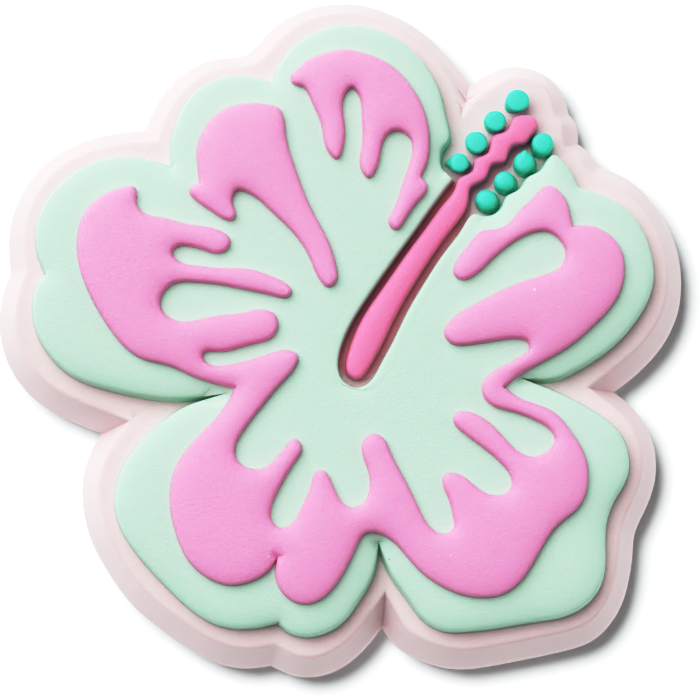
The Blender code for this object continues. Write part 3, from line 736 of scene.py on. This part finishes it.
def rubber(name, colour, roughness, speck_colour, speck_share, scatter, scatter_mm, gloss=0.35,
           grain=0.03):
    """A matte soft PVC with grain, pigment drift and specks.

    Colours are linear. scatter is how far red, green and blue spread under the skin, in steps
    of scatter_mm. grain is the depth of the skin's grain in millimetres.
    """
    material = bpy.data.materials.new(name)
    material.use_nodes = True
    tree = material.node_tree
    shader = tree.nodes["Principled BSDF"]
    shader.inputs["Roughness"].default_value = roughness
    shader.inputs["Specular IOR Level"].default_value = gloss
    shader.inputs["Subsurface Weight"].default_value = SCATTER_WEIGHT
    shader.inputs["Subsurface Radius"].default_value = scatter
    shader.inputs["Subsurface Scale"].default_value = scatter_mm * MM

    pigment = tree.nodes.new("ShaderNodeGroup")
    pigment.node_tree = drift_group
    bright = add_node(tree, "ShaderNodeHueSaturation")
    bright.inputs["Color"].default_value = (*colour, 1)
    tree.links.new(math_node(tree, "ADD", pigment.outputs["Value"], 1.0), bright.inputs["Value"])

    dust = tree.nodes.new("ShaderNodeGroup")
    dust.node_tree = speck_group
    dust.inputs["Share"].default_value = speck_share
    spotted = add_node(tree, "ShaderNodeMix", {"data_type": "RGBA"})
    faint = math_node(tree, "MULTIPLY", dust.outputs["Mask"], SPECK_STRENGTH)
    tree.links.new(faint, spotted.inputs["Factor"])
    tree.links.new(bright.outputs["Color"], spotted.inputs[MIX_FIRST])
    spotted.inputs[MIX_SECOND].default_value = (*speck_colour, 1)
    tree.links.new(spotted.outputs[MIX_RESULT], shader.inputs["Base Color"])

    texture = tree.nodes.new("ShaderNodeGroup")
    texture.node_tree = grain_group
    bump = add_node(tree, "ShaderNodeBump", Strength=1.0, Distance=grain * MM)
    tree.links.new(texture.outputs["Height"], bump.inputs["Height"])
    tree.links.new(bump.outputs["Normal"], shader.inputs["Normal"])
    return material


DARK_DUST = (0.12, 0.1, 0.09)
PALE_DUST = (0.95, 0.93, 0.95)
pale_pink = rubber("pale pink rubber", (0.84, 0.68, 0.695), 0.6, DARK_DUST, 0.01,
                   (1.0, 0.5, 0.55), 0.25)
mint = rubber("mint rubber", (0.565, 0.775, 0.655), 0.6, DARK_DUST, 0.03, (0.5, 1.0, 0.8), 0.25)
orchid = rubber("orchid rubber", (0.92, 0.42, 0.645), 0.55, PALE_DUST, 0.05,
                (1.0, 0.4, 0.8), 0.25)
hot_pink = rubber("hot pink rubber", (0.97, 0.315, 0.505), 0.5, PALE_DUST, 0.02,
                  (1.0, 0.3, 0.5), 0.25)
deep_pink = rubber("deep pink rubber", (1.0, 0.52, 0.58), 0.5, PALE_DUST, 0.02,
                   (1.0, 0.3, 0.5), 0.25)
turquoise = rubber("turquoise rubber", (0.06, 0.68, 0.53), 0.5, PALE_DUST, 0.03,
                   (0.1, 1.0, 0.8), 1.0, gloss=1.0)
rubbers = (pale_pink, mint, orchid, hot_pink, deep_pink, turquoise)
print("made", len(rubbers), "rubbers, from", rubbers[0].name, "to", rubbers[-1].name)

# %% [markdown]
# ## The plate
#
# The pink plate carries everything. In two of its notches a shallow fold runs in between the
# petals. A fold is deepest and widest at its start and fades out along its run.

# %% Folds of the plate
# For each fold: start, end, half width, depth
FOLDS = [
    ((7.0, 13.7), (6.83, 12.7), 0.3, 0.42),
    ((-13.0, -5.0), (-11.4, -4.3), 0.2, 0.32),
]
FOLD_FADE = 0.75
FOLD_REACH = 2.5          # a point this many half widths away is clear of the fold


def fold_share(points):
    """How far each point sinks into a fold, in millimetres, and whether it is near one."""
    sunk, near = np.zeros(len(points)), np.zeros(len(points), bool)
    for start, end, width, depth in FOLDS:
        run = np.subtract(end, start)
        share = np.clip((points - start) @ run / (run @ run), 0, 1)
        gap = np.linalg.norm(points - start - share[:, None] * run, axis=1)
        left = 1 - FOLD_FADE * share
        sunk = np.maximum(sunk, depth * left * np.exp(-(gap / (width * left)) ** 2))
        near |= gap < FOLD_REACH * width * left
    return sunk, near


print("the deepest fold sinks", max(fold[3] for fold in FOLDS), "mm")

# %% [markdown]
# The plate's wall leans in from the back to the top so that it leaves the mould, its back edge is
# broken a little, and its shoulder is rounded. The pistil's channel goes on down into the plate,
# so the top has a hole there with walls and a floor of its own. The folds need much finer
# triangles than the flat parts, so the top is filled with two honeycombs.

# %% Pink plate
WALL_DRAFT = 0.92
WALL_ROWS = 8
PLATE_ROUND = 0.3
BACK_CHAMFER = 0.15
TOP_SPACING, FOLD_SPACING = 0.4, 0.07
RIM_GAP, FOLD_RIM_GAP, HOLE_GAP = 0.25, 0.04, 0.15


def build_plate():
    """The plate, ring by ring from its back edge to its shoulder, then its top and the hole."""
    shoulder = PLATE_TOP - PLATE_ROUND
    rings = [
        (shrink(plate_foot, BACK_CHAMFER), PLATE_BACK),
        (shrink(plate_foot, 0.3 * BACK_CHAMFER), PLATE_BACK + 0.3 * BACK_CHAMFER),
    ]
    low = PLATE_BACK + BACK_CHAMFER
    for share in np.linspace(0, 1, WALL_ROWS):
        rings.append((shrink(plate_foot, WALL_DRAFT * share), low + (shoulder - low) * share))
    for angle in np.radians([25, 45, 65]):
        over = PLATE_ROUND * (1 - math.cos(angle))
        rise = PLATE_ROUND * math.sin(angle)
        rings.append((shrink(plate_foot, WALL_DRAFT + over), shoulder + rise))
    rim = shrink(plate_foot, WALL_DRAFT + PLATE_ROUND)
    count = len(rim)
    vertices = []
    for ring, z in rings:
        sunk = fold_share(ring)[0] if z >= shoulder else 0
        vertices.append(np.column_stack([ring, np.full(count, z) - sunk]))
    faces = []
    for level in range(len(rings)):
        faces += band((level + 1) * count, level * count, count)
    start = len(rings) * count
    inside = honeycomb(rim.min(axis=0), rim.max(axis=0), TOP_SPACING)
    fine = honeycomb(rim.min(axis=0), rim.max(axis=0), FOLD_SPACING)
    inside = np.vstack([inside[~fold_share(inside)[1]], fine[fold_share(fine)[1]]])
    _, probe = fill([rim], inside)
    inside = inside[np.unique(probe[probe >= count]) - count]
    gap = np.where(fold_share(inside)[1], FOLD_RIM_GAP, RIM_GAP)
    inside = inside[distance_to(rim, inside) > gap]
    inside = inside[distance_to(groove_edge, inside) > HOLE_GAP]
    top, triangles = fill([rim, groove_edge], inside)
    triangles = facing_up(top, triangles)
    vertices.append(np.column_stack([top, PLATE_TOP - fold_share(top)[0]]))
    faces += (triangles + start).tolist()
    floor = start + len(top)
    hole_count = len(groove_edge)
    vertices.append(np.column_stack([groove_edge, np.full(hole_count, GROOVE_FLOOR)]))
    faces += band(start + count, floor, hole_count)
    faces.append(list(range(floor, floor + hole_count)))
    faces.append(list(range(count))[::-1])
    return new_mesh("pink_plate", np.vstack(vertices), faces)


add_piece("pink_plate", build_plate(), pale_pink, "pale_pink_rubber", "base_plate")

# %% [markdown]
# ## The petals
#
# Each petal swells in the middle and sinks towards its outer edge, where the plastic shrank in
# the mould. The edge along the channel stays high, because there the mould held it. So only the
# outer edge is held down here, and the sheet finds its own shape. Then the edge is bevelled
# softly and rounded off. The patterns need to know how high the petals are, so the finished
# petals are kept as a tree that can be asked for the height at any place.

# %% Mint petals
PETAL_CROWN = 0.28
PETAL_SINK = 0.3
PETAL_REACH = 1.4
PETAL_BEVEL = 0.16
PETAL_BEVEL_REACH = 0.35
PETAL_ROUND = 0.13
PETAL_DRAFT = 0.1
PETAL_FLARE = 0.05
PETAL_WALL_ROWS = 10
LAYER_SINK = 0.06         # how far each layer runs down into the one below
BESIDE_CHANNEL = 0.5      # edge points this near to the channel stay high
CHANNEL_BEVEL_WIDTH, CHANNEL_BEVEL_SHARE = 0.6, 0.4
HIGH_ABOVE = 20.0


def petal_height(points, triangles, distance):
    """Heights of the petals' top, from how far each point is inside the rim."""
    edge_points = np.arange(len(petal_edge))
    beside_channel = distance_to(groove_edge, points[edge_points]) < BESIDE_CHANNEL
    held = edge_points[~beside_channel]
    rise = swell(points, triangles, held, PETAL_REACH)
    rounding = PETAL_ROUND - round_edge(distance, PETAL_ROUND)
    bevel = PETAL_BEVEL * np.exp(-distance / PETAL_BEVEL_REACH)
    bevel[distance_to(groove_edge, points) < CHANNEL_BEVEL_WIDTH] *= CHANNEL_BEVEL_SHARE
    return PETAL_TOP + PETAL_CROWN - PETAL_SINK * (1 - rise) - bevel - rounding


petal_mesh = closed_layer("mint_petals", petal_edge, PLATE_TOP - LAYER_SINK, PETAL_DRAFT,
                          PETAL_WALL_ROWS, petal_height, flare=PETAL_FLARE)
add_piece("mint_petals", petal_mesh, mint, "mint_rubber", "petal_layer")
petal_tree = BVHTree.FromPolygons(
    [v.co / MM for v in petal_mesh.vertices], [p.vertices for p in petal_mesh.polygons])


def petal_surface(points):
    """Height of the petals under each point."""
    heights = []
    for x, y in points:
        hit = petal_tree.ray_cast(Vector((x, y, HIGH_ABOVE)), Vector((0, 0, -1)))
        heights.append(hit[0].z if hit[0] else PETAL_TOP - PETAL_SINK)
    return np.array(heights)


# %% [markdown]
# ## The patterns
#
# The orchid patterns follow the petals under them, and swell on their own as well. They are the
# roundest of the layers. The rubber spread a hair beyond its outline and set a little off its
# place, so all three patterns are grown and shifted by a few hundredths of a millimetre.

# %% Orchid patterns
PATTERN_SHIFT = (-0.03, -0.08)
PATTERN_SPREAD = 0.015
PATTERN_FOOT = 0.6
PATTERN_WALL = 0.55
PATTERN_SWELL = 0.28
PATTERN_BEVEL = 0.12
PATTERN_BEVEL_REACH = 0.25
PATTERN_REACH = 0.95
PATTERN_ROUND = 0.12
PATTERN_SWELL_CURVE = 0.85
PATTERN_DRAFT = 0.05
PATTERN_FLARE = 0.06
PATTERN_WALL_ROWS = 8
PATTERN_STEP, PATTERN_SPACING = 0.12, 0.17


def pattern_height(points, triangles, distance):
    held = np.arange(np.sum(distance == 0))
    rise = swell(points, triangles, held, PATTERN_REACH)
    ground = petal_surface(points)
    rounding = PATTERN_ROUND - round_edge(distance, PATTERN_ROUND)
    bevel = PATTERN_BEVEL * np.exp(-distance / PATTERN_BEVEL_REACH)
    return ground + PATTERN_WALL + PATTERN_SWELL * rise ** PATTERN_SWELL_CURVE - bevel - rounding


patterns = {
    "petal_pattern_top": PATTERN_TOP_PETAL,
    "petal_pattern_upper_left": PATTERN_UPPER_LEFT_PETAL,
    "petal_pattern_ring": PATTERN_RING,
}
for node, knots in patterns.items():
    name = node.replace("petal_pattern", "orchid_pattern")
    edge = shrink(outline(knots, PATTERN_STEP) + PATTERN_SHIFT, -PATTERN_SPREAD)
    foot = petal_surface(edge) - LAYER_SINK
    mesh = closed_layer(name, edge, foot, PATTERN_DRAFT, PATTERN_WALL_ROWS, pattern_height,
                        spacing=PATTERN_SPACING, flare=PATTERN_FLARE, sole=PETAL_TOP - PATTERN_FOOT)
    add_piece(name, mesh, orchid, "orchid_rubber", node)

# %% [markdown]
# ## The pistil
#
# The stem is a rounded ridge that lies in the channel, and its scalloped tip runs out between the
# beads.

# %% Hot pink pistil
PISTIL_SWELL = 0.38
PISTIL_REACH = 0.6
PISTIL_ROUND = 0.22
PISTIL_DRAFT = 0.06
PISTIL_WALL_ROWS = 6
PISTIL_STEP, PISTIL_SPACING = 0.1, 0.14
ABOVE_GROOVE_FLOOR = 0.1


def pistil_height(points, triangles, distance):
    held = np.arange(np.sum(distance == 0))
    rise = swell(points, triangles, held, PISTIL_REACH)
    rounding = PISTIL_ROUND - round_edge(distance, PISTIL_ROUND)
    return PISTIL_TOP - PISTIL_SWELL * (1 - rise) - rounding


TIP_SHIFT = -0.07
PISTIL_SPREAD = 0.06
tip_places = [(x + TIP_SHIFT, y) for x, y in PISTIL_TIP]
pistil_edge = inset(outline(PISTIL_STEM + tip_places, PISTIL_STEP), -PISTIL_SPREAD)
ridge_mesh = closed_layer("hot_pink_pistil", pistil_edge, GROOVE_FLOOR + ABOVE_GROOVE_FLOOR,
                          PISTIL_DRAFT, PISTIL_WALL_ROWS, pistil_height, spacing=PISTIL_SPACING)
add_piece("hot_pink_pistil", ridge_mesh, hot_pink, "hot_pink_rubber", "pistil")

# %% [markdown]
# The pistil's rubber fills the channel in the plate almost to its brim. Only a narrow gap between
# the stem and the petals shows that floor, and so little light gets down there that it looks dark
# red, though the rubber itself is paler than the pistil's.

# %% Floor of the channel
ROOT_DEPTH = 0.05
ROOT_SPREAD = 0.02
ROOT_STEP, ROOT_SPACING = 0.25, 0.3
ROOT_DRAFT = 0.02
ROOT_ROWS = [0.04, 0.1]


def root_height(points, triangles, distance):
    return np.full(len(points), PLATE_TOP - ROOT_DEPTH)


root_edge = shrink(outline(HOLE_OUTLINE, ROOT_STEP), -ROOT_SPREAD)
root_mesh = closed_layer("pistil_root", root_edge, GROOVE_FLOOR, ROOT_DRAFT, 2, root_height,
                         rows=ROOT_ROWS, spacing=ROOT_SPACING)
add_piece("pistil_root", root_mesh, deep_pink, "hot_pink_rubber")

# %% [markdown]
# ## The beads
#
# The eight beads are short round studs with flat, slightly domed tops. No two are alike, because
# each was filled with its own drop of plastic. Some spread into a small point or a lobe at one
# side, and these spots fade towards the top.

# %% Shapes of the beads
# For each bead: radius of its top, how round its rim is, how far its foot leans out (x, y), the
# foot's radius, and its ragged spots as (direction in degrees, how far, how wide in degrees,
# how high up)
BEAD_SHAPES = [
    (0.64, 0.16, (-0.03, 0.1), 0.56, [(222, 0.16, 30, 0.6)]),
    (0.59, 0.16, (-0.02, 0.1), 0.52, [(245, 0.15, 30, 0.5)]),
    (0.61, 0.18, (0.0, 0.09), 0.54, [(275, 0.05, 50, 0.6)]),
    (0.52, 0.17, (0.0, 0.12), 0.54, [(182, 0.27, 20, 0.95), (352, 0.24, 20, 0.95)]),
    (0.6, 0.22, (0.0, 0.0), 0.66, [(302, 0.1, 18, 0.5), (238, 0.09, 20, 0.5)]),
    (0.57, 0.26, (0.12, -0.02), 0.66,
     [(322, 0.2, 20, 0.6), (84, 0.13, 16, 1.0), (270, 0.06, 20, 0.4)]),
    (0.55, 0.28, (0.17, -0.06), 0.66, [(325, 0.12, 30, 0.6)]),
    (0.57, 0.3, (0.14, -0.04), 0.69, [(325, 0.05, 30, 0.5)]),
]
print("there are", len(BEAD_SHAPES), "beads")

# %% [markdown]
# A bead is built from rings, from its foot up the wall and over the rounded rim to the middle of
# its top. It stands where its solid stands. A turned profile would make all eight perfectly
# round, so the radius of each ring wobbles a little with the direction.

# %% Turquoise beads
BEAD_SIDES = 72
BEAD_WALL_ROWS = 9
BEAD_SHIFT = (0, 0.04)
BEAD_SINK = 0.1
BEAD_DOME = 0.02
RIM_ANGLES = np.radians([18, 36, 54, 72, 90])


def bead_rings(number):
    """A bead's rings of points from its foot to its top, its middle and its height."""
    low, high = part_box(f"anther_bead_{number}")
    middle = np.array((low + high) / 2 / MM)[:2] + BEAD_SHIFT
    top_radius, rim_round, lean, foot_radius, spots = BEAD_SHAPES[number - 1]
    angle = np.radians(np.arange(BEAD_SIDES) * 360 / BEAD_SIDES)
    wobble = 1 + 0.02 * np.sin(2 * angle + number) + 0.012 * np.sin(3 * angle + 2.3 * number)
    way = np.column_stack([np.cos(angle), np.sin(angle)])
    total = BEAD_TOP - PLATE_TOP + BEAD_SINK
    wall = total - rim_round
    rings = []

    def ring(share, radius_cut, height):
        radius = foot_radius + (top_radius - foot_radius) * share ** 0.8 - radius_cut
        reach = np.full(BEAD_SIDES, 0.0)
        for direction, far, wide, high_up in spots:
            off = (np.degrees(angle) - direction + 180) % 360 - 180
            fade = max(0.0, 1 - share / high_up) if high_up < 1 else 1.0
            reach += far * np.exp(-(off / wide) ** 2) * fade ** 0.7
        shift = np.array(lean) * (1 - share) ** 1.3
        points = middle + shift + way * (radius * wobble + reach * max(0, 1 - radius_cut))[:, None]
        level = np.full(BEAD_SIDES, PLATE_TOP - BEAD_SINK + height)
        rings.append(np.column_stack([points, level]))

    for share in np.linspace(0, 1, BEAD_WALL_ROWS):
        ring(share, 0.0, wall * share)
    for bend in RIM_ANGLES:
        ring(1.0, rim_round * (1 - math.cos(bend)), wall + rim_round * math.sin(bend))
    for inner in (0.75, 0.5, 0.25):
        ring(1.0, rim_round + (top_radius - rim_round) * (1 - inner),
             total + BEAD_DOME * (1 - inner) ** 0.5)
    return rings, middle, total


def build_bead(number):
    rings, middle, total = bead_rings(number)
    points = np.vstack([*rings, [[*middle, PLATE_TOP - BEAD_SINK + total + BEAD_DOME]]])
    faces = [list(range(BEAD_SIDES))[::-1]]
    for row in range(len(rings) - 1):
        faces += band(row * BEAD_SIDES, (row + 1) * BEAD_SIDES, BEAD_SIDES)
    last = (len(rings) - 1) * BEAD_SIDES
    for side in range(BEAD_SIDES):
        faces.append([last + side, last + (side + 1) % BEAD_SIDES, len(points) - 1])
    return new_mesh(f"turquoise_bead_{number}", points, faces)


for number in range(1, len(BEAD_SHAPES) + 1):
    add_piece(f"turquoise_bead_{number}", build_bead(number), turquoise, "turquoise_rubber",
              f"anther_bead_{number}")

# %% [markdown]
# ## The stud
#
# Behind the plate a neck and a round flange push through the hole of a clog. Both are turned from
# one profile, a list of (radius, height) from the flange's end face up to the plate.

# %% Stud
STUD_TOP = node_heights("back_stud")[1]
STUD_SIDES = 128
STUD_PROFILE = [
    (5.5, 0.0), (5.9, 0.1), (6.15, 0.35), (6.3, 0.7), (6.3, 1.1), (6.15, 1.45), (5.9, 1.7),
    (5.5, 1.8), (4.3, 1.85), (3.95, 2.05), (3.75, 2.5), (3.7, 3.0), (3.7, 6.5), (3.78, 6.95),
    (3.95, 7.25), (4.2, 7.4), (4.3, STUD_TOP),
]


def build_stud():
    angles = 2 * math.pi * np.arange(STUD_SIDES) / STUD_SIDES
    points = [(0, 0, 0)]
    for radius, z in STUD_PROFILE:
        points += [(radius * math.cos(a), radius * math.sin(a), z) for a in angles]
    points.append((0, 0, STUD_TOP))
    faces = []
    for row in range(len(STUD_PROFILE) - 1):
        faces += band(1 + row * STUD_SIDES, 1 + (row + 1) * STUD_SIDES, STUD_SIDES)
    last = len(points) - 1 - STUD_SIDES
    for side in range(STUD_SIDES):
        after = (side + 1) % STUD_SIDES
        faces.append([0, 1 + after, 1 + side])
        faces.append([last + side, last + after, len(points) - 1])
    return new_mesh("push_stud", points, faces)


add_piece("push_stud", build_stud(), pale_pink, "pale_pink_rubber", "back_stud")

# %% [markdown]
# ## Floor, light and camera
#
# The charm stands on its stud on a sheet of white paper. The paper is a plain square, wide enough
# to run out of view on every side.

# %% Floor
FLOOR_HALF = 0.6
corners = [(-1, -1), (1, -1), (1, 1), (-1, 1)]
floor_mesh = bpy.data.meshes.new("floor")
floor_mesh.from_pydata([(x * FLOOR_HALF, y * FLOOR_HALF, 0) for x, y in corners], [], [(0, 1, 2, 3)])
floor = bpy.data.objects.new("floor", floor_mesh)
bpy.context.scene.collection.objects.link(floor)
floor_material = bpy.data.materials.new("white paper")
floor_material.use_nodes = True
paper = floor_material.node_tree.nodes["Principled BSDF"]
paper.inputs["Base Color"].default_value = (0.88, 0.94, 0.935, 1)
paper.inputs["Roughness"].default_value = 0.9
paper.inputs["Specular IOR Level"].default_value = 0.0
floor_mesh.materials.append(floor_material)
print("the floor is", 2 * FLOOR_HALF, "m wide")

# %% [markdown]
# A lamp almost straight above the charm makes the close, soft shadow on the paper. It lights only
# the floor, by light linking, so that the shadow and the shading of the charm can be set apart
# from each other. Its strength doesn't fall off with distance, so the paper is evenly bright.

# %% Lamp over the floor
def light_only(lamp, name, things):
    """The lamp lights only these things, though everything still casts its shadow."""
    lit = bpy.data.collections.new(name)
    for thing in things:
        lit.objects.link(thing)
    lamp.light_linking.receiver_collection = lit


def place_light(light, place):
    """An object for the light, with the same name, at a place in metres."""
    lamp = bpy.data.objects.new(light.name, light)
    bpy.context.scene.collection.objects.link(lamp)
    lamp.location = place
    return lamp


lamp_light = bpy.data.lights.new("floor_lamp", "POINT")
lamp_light.shadow_soft_size = 0.0195
lamp_light.energy = 3.4
lamp_light.use_nodes = True
lamp_nodes = lamp_light.node_tree
falloff = lamp_nodes.nodes.new("ShaderNodeLightFalloff")
falloff.inputs["Strength"].default_value = 17.4
lamp_nodes.links.new(falloff.outputs["Constant"], lamp_nodes.nodes["Emission"].inputs["Strength"])
lamp = place_light(lamp_light, (-0.0283, -0.0012, 0.24))
light_only(lamp, "lit by the floor lamp", [floor])
print("the floor lamp hangs", round(lamp.location.z, 2), "m up")

# %% [markdown]
# The charm itself is lit by a wide, soft key light from the upper left, which models the layers,
# and by a weak fill from the right, which keeps the far walls from going dull. A white studio
# around them lights everything a little.

# %% Key, fill and studio
CHARM_MIDDLE = Vector((0, 0, 0.01))
charm_pieces = [o for o in bpy.context.scene.objects if o.type == "MESH" and o != floor]

for name, width, energy, place in (
        ("key", 0.9, 8.0, (-0.3, 0.33, 0.58)),
        ("fill", 0.5, 0.8, (0.6, 0.05, 0.35))):
    light = bpy.data.lights.new(name, "AREA")
    light.shape = "DISK"
    light.size = width
    light.energy = energy
    disk = place_light(light, place)
    disk.rotation_euler = (CHARM_MIDDLE - Vector(place)).to_track_quat("-Z", "Y").to_euler()
    light_only(disk, "lit by the " + name, charm_pieces)
    print("the", name, "light is", width, "m wide")

world = bpy.data.worlds.new("studio")
bpy.context.scene.world = world
world.use_nodes = True
world_nodes = world.node_tree
studio = world_nodes.nodes["Background"]
studio.inputs["Color"].default_value = (1, 1, 1, 1)
studio.inputs["Strength"].default_value = 0.21

# What the camera sees beyond the floor is white too, though it adds no light.
backdrop = world_nodes.nodes.new("ShaderNodeBackground")
backdrop.inputs["Strength"].default_value = 1.6
seen = world_nodes.nodes.new("ShaderNodeLightPath")
choice = world_nodes.nodes.new("ShaderNodeMixShader")
world_nodes.links.new(seen.outputs["Is Camera Ray"], choice.inputs["Fac"])
world_nodes.links.new(studio.outputs[0], choice.inputs[1])
world_nodes.links.new(backdrop.outputs[0], choice.inputs[2])
world_nodes.links.new(choice.outputs[0], world_nodes.nodes["World Output"].inputs["Surface"])

# %% [markdown]
# The camera looks almost straight down, from a little below and left of the charm, so that the
# lower walls show. It stands about six charms away, as one does with a small thing, and that keeps
# the perspective mild.

# %% Camera
CAMERA_DISTANCE = 230
VIEW_WIDTH = 38.889       # what the camera takes in at the top of the plate
camera_data = bpy.data.cameras.new("camera")
camera_data.sensor_width = 36
camera_data.lens = camera_data.sensor_width * CAMERA_DISTANCE / VIEW_WIDTH
camera_data.clip_start = 0.01
camera = bpy.data.objects.new("camera", camera_data)
bpy.context.scene.collection.objects.link(camera)
look_at = Vector((0.545, -0.53, PLATE_TOP)) * MM
back = Vector((-0.028, -0.1065, 1.0)).normalized()
right = Vector((0, 1, 0)).cross(back).normalized()
rise = back.cross(right)
turn = Matrix((right, rise, back)).transposed()
camera.matrix_world = Matrix.Translation(look_at + CAMERA_DISTANCE * MM * back) @ turn.to_4x4()
bpy.context.scene.camera = camera
print("the lens is", round(camera_data.lens), "mm long")

# %% [markdown]
# Film and most cameras darken the shade and hold back the brightest parts. A curve does the same
# here. It is also why the shade looks more colourful than the lit parts, since it works on red,
# green and blue apart.

# %% Tone curve
# (light in, light out); above these places the curve levels out at its last point
TONE = [(0.19, 0.082), (0.347, 0.223), (0.529, 0.46), (0.663, 0.63), (0.896, 0.82), (1.15, 0.93)]
BRIGHTEST = (1.6, 1.04)
view = bpy.context.scene.view_settings
view.view_transform = "Standard"
view.use_curve_mapping = True
view.curve_mapping.clip_max_x = 2.0
view.curve_mapping.clip_max_y = 1.5
tone_curve = view.curve_mapping.curves[3]
tone_curve.points[1].location = BRIGHTEST
for light_in, light_out in TONE:
    tone_curve.points.new(light_in, light_out)
view.curve_mapping.update()
print("the tone curve has", len(tone_curve.points), "points")
